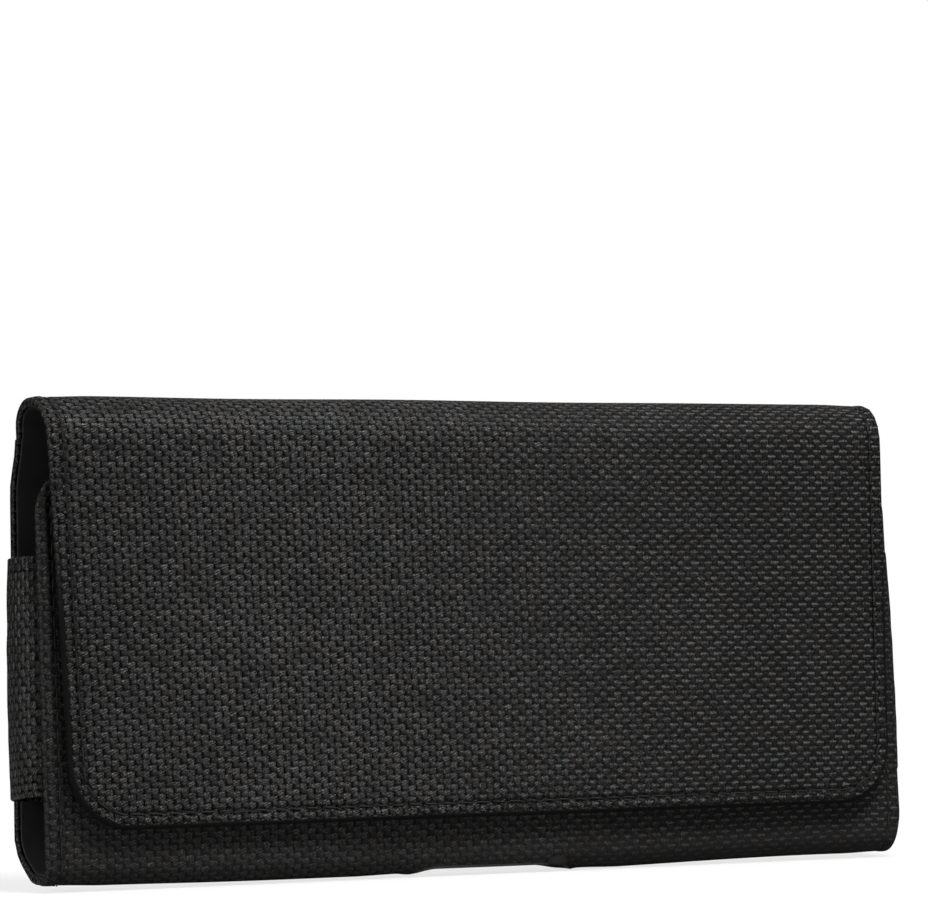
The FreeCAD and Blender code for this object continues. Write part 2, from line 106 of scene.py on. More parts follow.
class Section:
    """The line of a bent sheet's outer face: straight runs joined by round bends."""

    def __init__(self, corners):
        points = [np.array(corner[:2], float) for corner in corners]
        self.runs = []
        self.length = 0.0
        here = points[0]
        for index in range(1, len(points)):
            at = points[index]
            radius = corners[index][2] if len(corners[index]) > 2 else 0
            if index == len(points) - 1 or radius == 0:
                self.add_line(here, at)
                here = at
                continue
            arriving = unit(at - points[index - 1])
            leaving = unit(points[index + 1] - at)
            turn = math.atan2(cross(arriving, leaving), arriving @ leaving)
            reach = radius * math.tan(abs(turn) / 2)
            self.add_line(here, at - arriving * reach)
            self.add_bend(at - arriving * reach, arriving, turn, radius)
            here = at + leaving * reach

    def add_line(self, start, end):
        long = float(np.linalg.norm(end - start))
        if long > 1e-9:
            self.runs.append((self.length, long, start, unit(end - start), 0.0))
            self.length += long

    def add_bend(self, start, heading, turn, radius):
        self.runs.append((self.length, radius * abs(turn), start, heading, turn))
        self.length += radius * abs(turn)

    def at(self, s):
        """Points of the line and its outward normals at the given lengths along it."""
        s = np.asarray(s, float)
        point = np.zeros(s.shape + (2,))
        normal = np.zeros(s.shape + (2,))
        for number, (first, long, start, heading, turn) in enumerate(self.runs):
            last = number == len(self.runs) - 1
            mine = (s >= first if number else s > -1e9) & ((s < first + long) | last)
            along = (s[mine] - first)[:, None]
            if turn == 0:
                point[mine] = start + heading * along
                direction = np.broadcast_to(heading, point[mine].shape)
            else:
                angle = along * turn / long
                side = np.array([-heading[1], heading[0]]) * np.sign(turn)
                radius = long / abs(turn)
                size = np.abs(angle)
                point[mine] = start + radius * (heading * np.sin(size) + side * (1 - np.cos(size)))
                direction = heading * np.cos(size) + side * np.sin(size)
            normal[mine] = np.stack([-direction[:, 1], direction[:, 0]], axis=-1)
        return point, normal

    def length_at(self, test):
        """The first length along the line whose point passes the test."""
        steps = np.linspace(0, self.length, 20001)
        points, _ = self.at(steps)
        return float(steps[np.argmax(test(points[:, 0], points[:, 1]))])


def unit(vector):
    return vector / np.linalg.norm(vector)


def cross(a, b):
    return float(a[0] * b[1] - a[1] * b[0])


def smooth(value, low, high):
    part = np.clip((value - low) / (high - low), 0, 1)
    return part * part * (3 - 2 * part)


def bump(value, centre, width):
    return np.exp(-((value - centre) / width) ** 2)


# The whole sheet, from the flap's lower edge over the arch, down the back and up the front

FLAP_FRONT_TOP = (-(FLAP_REACH - LEAN * HEIGHT), HEIGHT, BROW_BEND)
WHOLE = Section([
    (-(FLAP_REACH - LEAN * FLAP_LOW), FLAP_LOW),
    FLAP_FRONT_TOP,
    (0, HEIGHT, SHOULDER_BEND),
    (0, 0, BACK_BEND),
    (-LOW_DEPTH, 0, FRONT_BEND),
    (-(LOW_DEPTH - LEAN * FRONT_TOP), FRONT_TOP),
])
SEAM = WHOLE.length_at(lambda depth, height: (depth > -0.01) & (height < HINGE + 0.15))
BOTTOM = WHOLE.length_at(lambda depth, height: (depth > -MOUTH_DEPTH) & (height < 0.01))

NOTCH_HALF = 17.0
NOTCH_CORNER = 4.6
NOTCH_BACK = 7.0
NOTCH_LIP = 0.70
NOTCH_START = WHOLE.length_at(lambda depth, height: (depth < -NOTCH_BACK) & (height < 2) & (depth > -9))
NOTCH_END = WHOLE.length_at(lambda depth, height: (depth < FRONT_BEND - LOW_DEPTH) & (height > NOTCH_LIP)
                            & (height < 2 * FRONT_BEND))
LIP_HEIGHT = 0.12
KNOT_PLACE = 13.6
KNOT_HEIGHT = 0.45
FRONT_START = BOTTOM + 2.0

# The strip of the sheet above the seam, where the sheet bends when the flap opens; no bend is set up for it

FLAP_CUT = WHOLE.length_at(lambda depth, height: depth > -SHOULDER_BEND - 1.1)
BEND_START = 0.15
BEND_END = 5.0
STRIP_CELL = 0.8

# Distances from an edge at which a mesh has its lines: a rounded rim, the hem and its groove

LEAST_GAP = 0.045
ON_EDGE = 1e-4
RIM_STEPS = [RIM * (1 - math.cos(math.radians(angle))) for angle in (0, 18, 36, 54, 72, 90)]
HEM_STEPS = RIM_STEPS + [1.6, 1.8, 2.1, 2.45, 2.7, 2.9, 3.1, 3.35, 3.7, 4.2, 5.0, 6.0, 7.2, 8.6, 10.0, 12.0]


def rounded_distance(x, s, middle, half_size, radius):
    """How far points lie outside a rounded rectangle, negative inside, and the way outwards."""
    px = x - middle[0]
    ps = s - middle[1]
    qx = np.abs(px) - (half_size[0] - radius)
    qs = np.abs(ps) - (half_size[1] - radius)
    corner = np.hypot(np.maximum(qx, 0), np.maximum(qs, 0))
    outside = corner + np.minimum(np.maximum(qx, qs), 0) - radius
    in_corner = (qx > 0) & (qs > 0)
    size = np.maximum(corner, 1e-9)
    way_x = np.where(in_corner, qx / size, (qx >= qs).astype(float)) * np.sign(px)
    way_s = np.where(in_corner, qs / size, (qx < qs).astype(float)) * np.sign(ps)
    return outside, way_x, way_s


def filled(lines, cell):
    """The lines with evenly spaced ones between those that lie further apart than a cell."""
    lines = sorted(set(round(float(line), 5) for line in lines))
    full = [lines[0]]
    for line in lines[1:]:
        gap = line - full[-1]
        parts = max(1, math.ceil(gap / cell - 0.2))
        full += [full[-1] + gap * (part + 1) / parts for part in range(parts)]
    return np.array(full)


class Blank:
    """A flat piece of sheet as a grid of lines, with rounded corners and perhaps a rounded hole."""

    def __init__(self, half, start, end, corner_start=0.0, corner_end=0.0, open_start=False,
                 open_end=False, hole=None, steps=HEM_STEPS, cell=3.0, cell_along=None):
        self.open_start = open_start
        self.open_end = open_end
        x_lines = [-half + step for step in steps] + [half - step for step in steps]
        s_lines = [start, end]
        if not open_start:
            s_lines += [start + step for step in steps]
        if not open_end:
            s_lines += [end - step for step in steps]
        if hole:
            middle, size, radius = hole
            inner = [radius * part for part in (0.15, 0.35, 0.6, 0.8, 1.0)]
            outer = [-step for step in steps if step < 9]
            for offset in inner + outer:
                x_lines += [size[0] - offset, -size[0] + offset]
                s_lines += [middle + size[1] - offset, middle - size[1] + offset]
        self.x_lines = filled(self.thinned(x_lines), cell)
        self.s_lines = filled(self.thinned(s_lines), cell_along or cell)
        x, s = np.meshgrid(self.x_lines, self.s_lines, indexing="ij")
        self.drop = np.zeros((x.shape[0] - 1, x.shape[1] - 1), bool)
        far = 1e4
        low = start - far if open_start else start
        high = end + far if open_end else end
        x, s = self.round_corners(x, s, half, start, end, corner_start, corner_end)
        fields = np.zeros((3,) + x.shape)
        middle_s = (start + end) / 2
        for radius, mine in ((corner_start, s <= middle_s), (corner_end, s > middle_s)):
            outside, gx, gs = rounded_distance(x, s, (0, (low + high) / 2),
                                               (half, (high - low) / 2), max(radius, 1e-3))
            fields[:, mine] = np.stack([-outside, gx, gs])[:, mine]
        if hole:
            x, s = self.round_hole(x, s, hole)
            middle, size, radius = hole
            outside, gx, gs = rounded_distance(x, s, (0, middle), size, radius)
            fields = np.where(outside < fields[0], np.stack([outside, -gx, -gs]), fields)
            cx = (self.x_lines[1:] + self.x_lines[:-1]) / 2
            cs = (self.s_lines[1:] + self.s_lines[:-1]) / 2
            self.drop = ((np.abs(cx)[:, None] < size[0]) & (np.abs(cs - middle)[None, :] < size[1]))
        self.x = x
        self.s = s
        self.distance = np.maximum(fields[0], 0)
        self.way_x = fields[1]
        self.way_s = fields[2]

    @staticmethod
    def thinned(lines):
        """The lines without those that lie too close to another."""
        kept = []
        for line in sorted(lines):
            if not kept or line - kept[-1] > LEAST_GAP:
                kept.append(line)
        return kept

    @staticmethod
    def round_corners(x, s, half, start, end, corner_start, corner_end):
        for radius, middle, side in ((corner_start, start + corner_start, -1),
                                     (corner_end, end - corner_end, 1)):
            if radius <= 0:
                continue
            a = np.maximum(np.abs(x) - (half - radius), 0)
            b = np.maximum((s - middle) * side, 0)
            size = np.hypot(a, b)
            scale = np.where(size > 0, np.maximum(a, b) / np.maximum(size, 1e-9), 1)
            corner = (a > 0) & (b > 0)
            x = np.where(corner, np.sign(x) * (half - radius + a * scale), x)
            s = np.where(corner, middle + side * b * scale, s)
        return x, s

    @staticmethod
    def round_hole(x, s, hole, fade=9.0):
        middle, size, radius = hole
        a = np.abs(x) - (size[0] - radius)
        b = np.abs(s - middle) - (size[1] - radius)
        corner = (a > 0) & (b > 0)
        reach = np.maximum(a, b)
        norm = np.maximum(np.hypot(a, b), 1e-9)
        keep = 1 - smooth(reach, radius + 3, radius + fade)
        scale = 1 + (reach / norm - 1) * keep
        x = np.where(corner, np.sign(x) * (size[0] - radius + a * scale), x)
        s = np.where(corner, middle + np.sign(s - middle) * (size[1] - radius + b * scale), s)
        return x, s


# Meshes

def linked(name, data):
    """A new object in the scene."""
    item = bpy.data.objects.new(name, data)
    bpy.context.scene.collection.objects.link(item)
    return item


def object_from(name, vertices, faces, materials=(), edges=()):
    mesh = bpy.data.meshes.new(name)
    mesh.from_pydata([tuple(v) for v in vertices], edges, faces)
    for material in materials:
        mesh.materials.append(material)
    return linked(name, mesh)


def sheet_object(name, blank, place, top, bottom, materials, rim=RIM, turn_in=0.0):
    """A closed sheet: its outer and inner faces, which meet along the rounded edges.

    place(x, s, depth) gives points, a depth below the outer face. top and bottom are the depths
    of the two faces from the distance to the nearest edge. The last material is the inner face's,
    from turn_in inwards.
    """
    x, s, distance = blank.x, blank.s, blank.distance
    rows, columns = x.shape
    count = rows * columns
    edge = distance < ON_EDGE
    depth_top = top(distance, x, s)
    depth_bottom = np.where(edge, depth_top, bottom(distance, x, s))
    places = np.concatenate([place(x, s, depth).reshape(-1, 3) for depth in (depth_top, depth_bottom)])
    index = np.arange(count).reshape(rows, columns)
    under = np.where(edge, index, index + count)
    flat = np.minimum(distance, rim)
    curve = rim * np.arcsin(1 - flat / rim) - (rim - flat)
    round_edge = 2 * distance + 2 * rim * (math.pi / 2 - 1) - curve
    uv = np.concatenate([np.stack([x + out * blank.way_x, s + out * blank.way_s], axis=-1).reshape(-1, 2)
                         for out in (curve, round_edge)])
    faces = []
    corners = []
    slots = []

    def add_face(ring, uv_ring, slot=0):
        """Adds a face without repeated corners."""
        kept = [k for k in range(4) if ring[k] != ring[k - 1]]
        if len(kept) > 2:
            faces.append([ring[k] for k in kept])
            corners.append([uv_ring[k] for k in kept])
            slots.append(slot)

    for i, j in np.argwhere(~blank.drop):
        ring = [(i, j), (i + 1, j), (i + 1, j + 1), (i, j + 1)]
        upper = [index[at] for at in ring]
        inside = distance[i:i + 2, j:j + 2].mean() > turn_in
        add_face(upper, upper)
        add_face([under[at] for at in ring[::-1]], [at + count for at in upper[::-1]],
                 len(materials) - 1 if inside else 0)
    sides = len(faces)
    for column, wanted in ((0, blank.open_start), (columns - 1, blank.open_end)):
        for i in range(rows - 1 if wanted else 0):
            near, far = (i, i + 1) if column == 0 else (i + 1, i)
            ring = [under[near, column], under[far, column], index[far, column], index[near, column]]
            add_face(ring, ring)
    used = np.unique(np.concatenate(faces))
    renumber = np.full(2 * count, -1)
    renumber[used] = np.arange(len(used))
    vertices = places[used]
    faces = [renumber[face].tolist() for face in faces]
    if volume(vertices, faces) < 0:
        faces = [face[::-1] for face in faces]
        corners = [ring[::-1] for ring in corners]
    piece = object_from(name, vertices, faces, materials)
    mesh = piece.data
    mesh.polygons.foreach_set("material_index", slots)
    layer = mesh.uv_layers.new(name="weave")
    layer.data.foreach_set("uv", uv[np.concatenate(corners)].astype(np.float32).ravel())
    attribute = mesh.attributes.new("from_edge", "FLOAT", "POINT")
    attribute.data.foreach_set("value", np.tile(distance.ravel(), 2)[used].astype(np.float32))
    mesh.polygons.foreach_set("use_smooth", [number < sides for number in range(len(faces))])
    mesh.update()
    rims = {key for face in mesh.polygons[sides:] for key in face.edge_keys}
    mesh.edges.foreach_set("use_edge_sharp", [edge.key in rims for edge in mesh.edges])
    return piece


def volume(vertices, faces):
    """The volume inside closed faces, which is negative where they point inwards."""
    fans = np.array([(face[0], face[k], face[k + 1]) for face in faces for k in range(1, len(face) - 1)])
    first, second, third = (vertices[fans[:, k]] for k in range(3))
    return float(np.einsum("ij,ij->i", first, np.cross(second, third)).sum()) / 6


def rim_drop(distance, rim, thick):
    part = np.clip(1 - distance / rim, 0, 1)
    return thick / 2 * (1 - np.sqrt(np.maximum(1 - part * part, 0)))


def wander(x, s, seed, size, amount):
    """A smooth uneven field made of a few waves."""
    dice = np.random.default_rng(seed)
    total = np.zeros(np.shape(x))
    for _ in range(7):
        angle = dice.uniform(0, math.pi)
        length = size * dice.uniform(0.6, 1.8)
        phase = dice.uniform(0, 2 * math.pi)
        total = total + np.sin((x * math.cos(angle) + s * math.sin(angle)) * 2 * math.pi / length + phase)
    return total * amount / 2.6


# Materials

def add_node(tree, kind, settings=None, inputs=None):
    """The outputs of a new node. It gets its settings first, then values or links of its sockets."""
    node = tree.nodes.new(kind)
    for key, value in (settings or {}).items():
        setattr(node, key, value)
    for key, value in (inputs or {}).items():
        if isinstance(value, bpy.types.NodeSocket):
            tree.links.new(value, node.inputs[key])
        else:
            node.inputs[key].default_value = value
    return node.outputs


class Field:
    """A number that changes over a surface. Python's operators add the Math nodes."""

    def __init__(self, shader, socket):
        self.shader = shader
        self.socket = socket

    def math(self, operation, *others):
        return self.shader.node("Math", {"operation": operation}, dict(enumerate((self,) + others)))

    __add__ = __radd__ = partialmethod(math, "ADD")
    __sub__ = partialmethod(math, "SUBTRACT")
    __mul__ = __rmul__ = partialmethod(math, "MULTIPLY")
    __truediv__ = partialmethod(math, "DIVIDE")
    floor = partialmethod(math, "FLOOR")
    part = partialmethod(math, "FRACT")
    sine = partialmethod(math, "SINE")
    absolute = partialmethod(math, "ABSOLUTE")
    power = partialmethod(math, "POWER")
    least = partialmethod(math, "MINIMUM")
    most = partialmethod(math, "MAXIMUM")

    def __rsub__(self, other):
        return (self * -1) + other

    def step(self, low, high, start=0.0, end=1.0):
        """Rises smoothly from start to end as the number goes from low to high."""
        return self.shader.node("MapRange", {"interpolation_type": "SMOOTHSTEP"}, {
            "Value": self, "From Min": low, "From Max": high, "To Min": start, "To Max": end})

    def toward(self, other, share):
        return self * (1 - share) + share * other

    def within(self, low, high, soft):
        return self.step(low - soft, low + soft) * self.step(high - soft, high + soft, 1.0, 0.0)


class Shader:
    """A material and its nodes."""

    def __init__(self, name):
        self.material = bpy.data.materials.new(name)
        self.material.use_nodes = True
        self.tree = self.material.node_tree
        self.tree.nodes.clear()

    def node(self, kind, settings=None, inputs=None, out=0):
        """One of a new node's outputs."""
        values = {key: value.socket if isinstance(value, Field) else value
                  for key, value in (inputs or {}).items()}
        return Field(self, add_node(self.tree, "ShaderNode" + kind, settings, values)[out])

    def uv(self):
        """The two lengths along the woven sheet, in millimetres."""
        vector = self.node("UVMap", {"uv_map": "weave"})
        parts = add_node(self.tree, "ShaderNodeSeparateXYZ", None, {"Vector": vector.socket})
        return Field(self, parts["X"]), Field(self, parts["Y"])

    def place(self):
        return self.node("TexCoord", out="Object")

    def joined(self, x, y=0.0, z=0.0):
        return self.node("CombineXYZ", None, {"X": x, "Y": y, "Z": z})

    def noise(self, vector, scale, detail=2.0, roughness=0.5):
        return self.node("TexNoise", None, {
            "Vector": vector, "Scale": scale, "Detail": detail, "Roughness": roughness}, "Fac")

    def dice(self, x, y=0.0, z=0.0):
        """A random number for each whole step of its coordinates."""
        return self.node("TexWhiteNoise", {"noise_dimensions": "3D"}, {"Vector": self.joined(x, y, z)},
                         "Value")

    def mix(self, factor, first, second):
        return self.node("Mix", {"data_type": "RGBA"}, {0: factor, 6: first, 7: second}, 2)

    def tinted(self, amount, colour):
        """A colour as strong as the amount, which changes over the surface."""
        return self.node("VectorMath", {"operation": "SCALE"}, {"Vector": colour, "Scale": amount})

    def relief(self, height, strength=1.0):
        return self.node("Bump", None, {"Height": height, "Strength": strength, "Distance": MM})

    def coat(self, **inputs):
        return self.node("BsdfPrincipled", None, {key.replace("_", " "): value
                                                  for key, value in inputs.items()})

    def close(self, surface):
        add_node(self.tree, "ShaderNodeOutputMaterial", None, {"Surface": surface.socket})
        return self.material

    def finish(self, **inputs):
        return self.close(self.coat(**inputs))


WEAVE_REPEAT = 3.18
WEAVE_PITCH = 1.10
# Cells per millimetre of the painted filament glints and specks.
FLECKS = 3.5
# Painted shade: the even tone of the front below the flap, in the flap's shade.
FLAP_SHADE_TONE = 0.34
# Painted sheen: the light tone of the cut-out's rolled lip.
LIP_SHEEN_TONE = 1.7
# Painted light: the tone of the lump where the lip ends.
KNOT_LIGHT_TONE = 0.48
# Across this stretch of the width the weave is painted as under flat light.
FLAT_LIGHT_FROM = -35.0
FLAT_LIGHT_TO = 75.0
WARM_BLACK = (0.0515, 0.0493, 0.0466)
COOL_BLACK = (0.0485, 0.0493, 0.0500)


def float_mask(across, up, middle, half):
    """One in a float of the weave, a square with well rounded corners, and nought around it."""
    wide = ((across - middle[0]) / half[0]).absolute().power(3.0)
    tall = ((up - middle[1]) / half[1]).absolute().power(3.0)
    return (wide + tall).step(0.65, 1.35, 1.0, 0.0)


def woven(shader, u, v, plain):
    """Height, brightness and gloss of a cloth of filament yarn, its rows moved by half a repeat.

    A repeat holds a twisted float of a few slanting strands, a pit, and a smooth flat float.
    Its brightness holds painted light and shade: the pits are painted dark as shade, the floats
    lighter towards their tops as if lit from above, with painted highlights along the strands
    and glints at some floats' tips. Where plain nears one, the weave is painted as under flat
    light: the pits fade and each twisted float shows as a thin painted highlight dash.
    """
    at = shader.joined(u, v)
    level = v / WEAVE_PITCH + (shader.noise(at, 1.7, 1.0) - 0.5) * 0.22
    row = level.floor()
    up = level - row
    shift = shader.dice(row, 3.0) * 0.08
    along = u / WEAVE_REPEAT + row * 0.5 + shift + (shader.noise(at, 2.3, 1.0) - 0.5) * 0.09
    column = along.floor()
    across = along - column
    chance = shader.dice(column, row, 1.0)
    other = shader.dice(column, row, 7.0)
    up = up - 0.16 * (across - 0.5) + 0.10 * (chance - 0.5)
    rich = 1 - plain
    twisted = float_mask(across, up, (0.25, 0.54), (0.23, 0.52))
    flat = float_mask(across, up, (0.80, 0.52), (0.22, 0.44))
    pit = float_mask(across, up, (0.545, 0.48), (0.145, 0.40)) * (0.80 + 0.30 * other)
    dash = float_mask(across, up, (0.30, 0.66), (0.29, 0.17))
    tick = float_mask(across, up, (0.52, 0.45), (0.05, 0.34))
    grain = shader.noise(at, 2.9, 2.0, 0.7)
    twist = up * 2.2 - across * 2.4 + other + (grain - 0.5) * 1.2
    strand = ((twist * (2 * math.pi)).sine() * 0.5 + 0.5).power(1.6) * (0.35 + 1.3 * grain)
    # A painted glint at the upper left tip of some twisted floats; it also makes them glossy.
    tip = (1 - ((across - 0.07) / 0.06).power(2.0) - ((up - 0.86) / 0.14).power(2.0)).most(0.0)
    glint = tip * chance.step(0.5, 0.75)
    crown = (1 - ((up - 0.60) * 1.9).power(2.0)).most(0.0)
    height = 0.12 - 0.22 * pit + twisted * (0.04 * crown + 0.07 * strand) + flat * 0.04 * crown
    shine = twisted * (0.15 + 0.85 * strand) + flat * crown * 0.35 + glint
    # Painted light: highlights along the strands, and twisted floats lighter towards their tops as if lit
    # from above.
    painted_strand_light = (0.16 + 0.80 * strand) * (0.30 + 0.80 * up) * (0.6 + 0.8 * other)
    # Painted shade: the pits are darkened in the colour as well as sunk in the relief; the base is a little
    # darker where plain is high.
    tone = 0.245 - 0.055 * plain - pit * (0.245 - 0.12 * plain)
    # Painted light on the floats: the strand highlights, and flat floats lighter towards their tops as if
    # lit from above; the rest of their tone differs at random.
    tone = tone + rich * (twisted * (0.02 + painted_strand_light) + flat * (0.50 * up * crown + 0.28 * (chance - 0.5)))
    # Painted highlights: where plain is high, a light dash on each twisted float and a thin light tick;
    # everywhere, the glints at float tips.
    tone = tone + plain * (dash * (0.85 + 0.6 * chance) + tick * 0.5 + twisted * 0.06) + 2.2 * glint
    return height * (1 - 0.6 * plain), tone, shine * (1 - 0.5 * plain)


def nylon(name, strength=1.0, bare_rim=True, shaded_front=False):
    """Black oxford cloth with painted light and shade. Its turned hem is uneven and, on some pieces, ends
    in a smooth rolled rim painted dark as shade.
    """
    shader = Shader(name)
    u, v = shader.uv()
    at = shader.joined(u, v)
    edge = shader.node("Attribute", {"attribute_name": "from_edge"}, out="Fac")
    hem = edge.step(2.2, 2.9, 1.0, 0.0)
    near_cut = u.absolute().step(NOTCH_HALF + 3.0, NOTCH_HALF + 5.0, 1.0, 0.0)
    near_cut = near_cut * v.within(NOTCH_START - 4.0, NOTCH_END + 5.0, 1.0)
    groove = edge.within(2.6, 3.2, 0.2) * (1 - near_cut)
    slow = shader.noise(at, 0.045, 3.0)
    loose = shader.noise(at, 0.9, 2.0) - 0.5
    drift = (shader.noise(at, 0.35, 2.0) - 0.5) * 0.45 + loose * hem * 0.9
    # Painted light: towards the right the weave is painted as under flat, soft light, its contrast faded.
    plain = u.step(FLAT_LIGHT_FROM, FLAT_LIGHT_TO) * 0.8
    height, tone, shine = woven(shader, u + drift, v + drift * 0.25, plain)
    fibre = shader.noise(shader.joined(u * 1.2, v * 5.0), 1.6, 3.0, 0.7)
    speck = shader.noise(at, 2.6, 1.0) - 0.5
    # The fibre and slow noise vary the tone at random; the sewn groove is darkened as painted shade.
    tone = tone * (0.45 + 0.65 * fibre + 0.40 * slow) * (1 - 0.6 * groove)
    grit = shader.noise(at, 1.9, 2.0, 0.8) - 0.5
    # Painted glints: a few bright cells in the colour stand for glints of single filaments; some cells are
    # darker specks.
    fleck = shader.dice((u * FLECKS).floor(), (v * FLECKS).floor(), 4.0)
    painted_glints_and_specks = 1.5 * fleck.power(6.0) - 0.55 * (1 - fleck).power(3.0)
    uneven = speck * 1.6 + grit * 1.1 + painted_glints_and_specks + hem * (2.0 * speck + 3.0 * grit - 0.10)
    tone = tone * (1 + uneven).most(0.12)
    tone = tone + 0.65 * (tone - 0.42).most(0.0)
    # Painted shade: the colour is darker towards the left side and a little darker towards the right.
    tone = tone * u.step(-92.0, -50.0, 0.72, 1.0) * (1 - 0.14 * plain)
    tone = tone.least(2.6) * strength
    if shaded_front:
        # Painted shade below the flap: the front is painted with less contrast and towards an even tone,
        # more so low down and towards the right.
        front = v.step(FRONT_START, FRONT_START + 6.0)
        low = front * v.step(FRONT_START + 6.0, FRONT_START + 16.0, 1.0, 0.0)
        painted_flap_shade = front * 0.40 + low * (0.25 + 0.25 * u.step(-70.0, 60.0))
        # Painted sheen: the rolled lip along the cut-out is painted light.
        lip = edge.step(1.2, 1.6, 1.0, 0.0) * near_cut
        tone = tone.toward(FLAP_SHADE_TONE, painted_flap_shade).toward(LIP_SHEEN_TONE, lip)
        # Painted light and shade: the lump where the lip ends is painted lighter and ringed with painted
        # shade.
        round_knot = ((u - KNOT_PLACE) / 2.3).power(2.0) + ((v - NOTCH_END - 1.3) / 1.5).power(2.0)
        knot = round_knot.step(0.6, 1.1, 1.0, 0.0)
        knot_shade_ring = round_knot.within(1.1, 1.7, 0.2)
        tone = tone.toward(KNOT_LIGHT_TONE, knot) * (1 - 0.4 * knot_shade_ring)
        height = height * (1 - painted_flap_shade) * (1 - knot) * (1 - lip)
        shine = shine * (1 - painted_flap_shade)
    if bare_rim:
        # The rim is smooth, without weave, and painted dark as shade where it rolls away from the light,
        # except high on the sheet.
        rim = edge.step(0.55, 1.15).most(v.step(38.0, 62.0))
        tone = tone * rim + (1 - rim) * 0.12
        height = height * rim
        shine = shine * rim
    patch = shader.noise(at, 0.16, 2.0).step(0.35, 0.65)
    base = shader.mix(patch, shader.tinted(tone, WARM_BLACK), shader.tinted(tone, COOL_BLACK))
    normal = shader.relief(height)
    dull = shader.coat(Base_Color=base, Roughness=0.85, Specular_IOR_Level=0.07, Normal=normal)
    glossy = shader.coat(Base_Color=base, Roughness=0.36, Specular_IOR_Level=0.36, Normal=normal)
    return shader.close(shader.node("MixShader", None, {0: shine.least(1.0), 1: dull, 2: glossy}))


def lining_cloth(name):
    """Smooth dark cloth with a fine plain weave."""
    shader = Shader(name)
    u, v = shader.uv()
    threads = (u * 14.0).sine() * (v * 14.0).sine()
    slow = shader.noise(shader.joined(u, v), 0.12, 3.0)
    colour = shader.tinted(0.75 + 0.5 * slow + 0.12 * threads, (0.0320, 0.0320, 0.0327))
    return shader.finish(Base_Color=colour, Roughness=0.65 + 0.15 * slow, Specular_IOR_Level=0.10,
                         Normal=shader.relief(threads * 0.012))


def webbing(name, pitch, rib, colour):
    """Narrow woven strap: rows of short slanting floats in ribs."""
    shader = Shader(name)
    u, v = shader.uv()
    at = shader.joined(u, v)
    drift = (shader.noise(at, 0.5, 2.0) - 0.5) * 0.35
    lane = (u + drift) / rib
    column = lane.floor()
    across = lane - column
    side = (column * 0.5).part() * 4.0 - 1.0
    slide = (v + drift) / pitch + across * side * 0.6 + column * 0.5
    row = slide.floor()
    up = slide - row
    chance = shader.dice(column, row, 2.0)
    thread = across.within(0.06, 0.94, 0.08) * up.within(0.08, 0.92, 0.16)
    crown = (1 - ((across - 0.5) * 1.7).power(2.0)).most(0.1)
    fibre = shader.noise(at, 6.0, 2.0, 0.6)
    slow = shader.noise(at, 0.06, 2.0)
    tone = (0.25 + thread * (0.65 + 0.5 * (chance - 0.4))) * (0.7 + 0.6 * fibre) * (0.7 + 0.6 * slow)
    return shader.finish(Base_Color=shader.tinted(tone, colour), Roughness=0.55 + 0.2 * fibre,
                         Specular_IOR_Level=0.28, Normal=shader.relief(thread * crown * 0.12))


def sewing_thread(name, shade):
    shader = Shader(name)
    fibre = shader.noise(shader.place(), 4000.0)
    return shader.finish(Base_Color=shader.tinted(0.6 + 0.8 * fibre, (shade, shade, shade)),
                         Roughness=0.60 + 0.2 * fibre, Specular_IOR_Level=0.18)


def painted_steel(name):
    """Black lacquered spring steel with a light grain."""
    shader = Shader(name)
    at = shader.place()
    grain = shader.noise(at, 900.0, 3.0, 0.6)
    colour = shader.tinted(0.8 + 0.4 * shader.noise(at, 60.0), (0.018, 0.018, 0.019))
    return shader.finish(Base_Color=colour, Roughness=0.28 + 0.14 * grain, Specular_IOR_Level=0.5,
                         Normal=shader.relief(grain * 0.02, 0.5))


def bare_steel(name, colour):
    shader = Shader(name)
    at = shader.place()
    grain = shader.noise(at, 1400.0, 3.0, 0.6)
    colour = shader.tinted(0.85 + 0.3 * shader.noise(at, 120.0), colour)
    return shader.finish(Base_Color=colour, Metallic=1.0, Roughness=0.3 + 0.2 * grain,
                         Normal=shader.relief(grain * 0.01, 0.5))


# The pouch's nylon carries the flap's painted shade on the front below the flap.
NYLON = nylon("black_nylon", bare_rim=False, shaded_front=True)
FLAP_NYLON = nylon("flap_nylon")
STRAP_NYLON = nylon("strap_nylon", 0.9, bare_rim=False)
LINING = lining_cloth("lining_cloth")
LOOP_WEB = webbing("loop_webbing", 0.8, 1.4, (0.034, 0.034, 0.0345))
THREAD = sewing_thread("sewing_thread", 0.021)
LOOP_THREAD = sewing_thread("loop_thread", 0.007)
PAINTED = painted_steel("painted_steel")
STEEL = bare_steel("plain_steel", (0.42, 0.42, 0.43))
MAGNET = bare_steel("magnet_plating", (0.35, 0.35, 0.36))


# The pouch's and the flap's sheet

FLAP_RIM_FADE = (3, 14)
BACK_BOW = 1.9
BOW_FADE = (66, 84)
BACK_SPREAD = 0.6
BAND_DEPTHS = (-9, -2)
BAND_FOOT = (0.5, 9)
BAND_TOP = (76, HINGE)
FRONT_SPREAD = 0.45
FRONT_FADE = (11, 14)
UNDERSIDE_SAG = 0.65
SAG_FADE = (22, 76)
SAG_HEIGHTS = (1.0, 14.0)
CORNER_DRAW = 1.5
CORNER_FADE = (78, HALF)
CORNER_HEIGHTS = (0, 9)
HEM_HEIGHT = 0.10
HEM_PLACE = (1.5, 0.7)
GROOVE_DEPTH = 0.32
GROOVE_PLACE = (STITCH_INSET, 0.38)
MIDDLE_HEIGHT = 0.22
MIDDLE_FADE = (3.3, 12.0)
RELIEF_SINK = 0.35
LINING_INSET = 0.9
LINING_RIM = 0.25
LINING_GAP = 0.02
THIN_STEPS = [0, 0.05, 0.10, 0.17, 0.25, 0.6, 1.5, 3.0, 5.0, 7.0, 9.0]


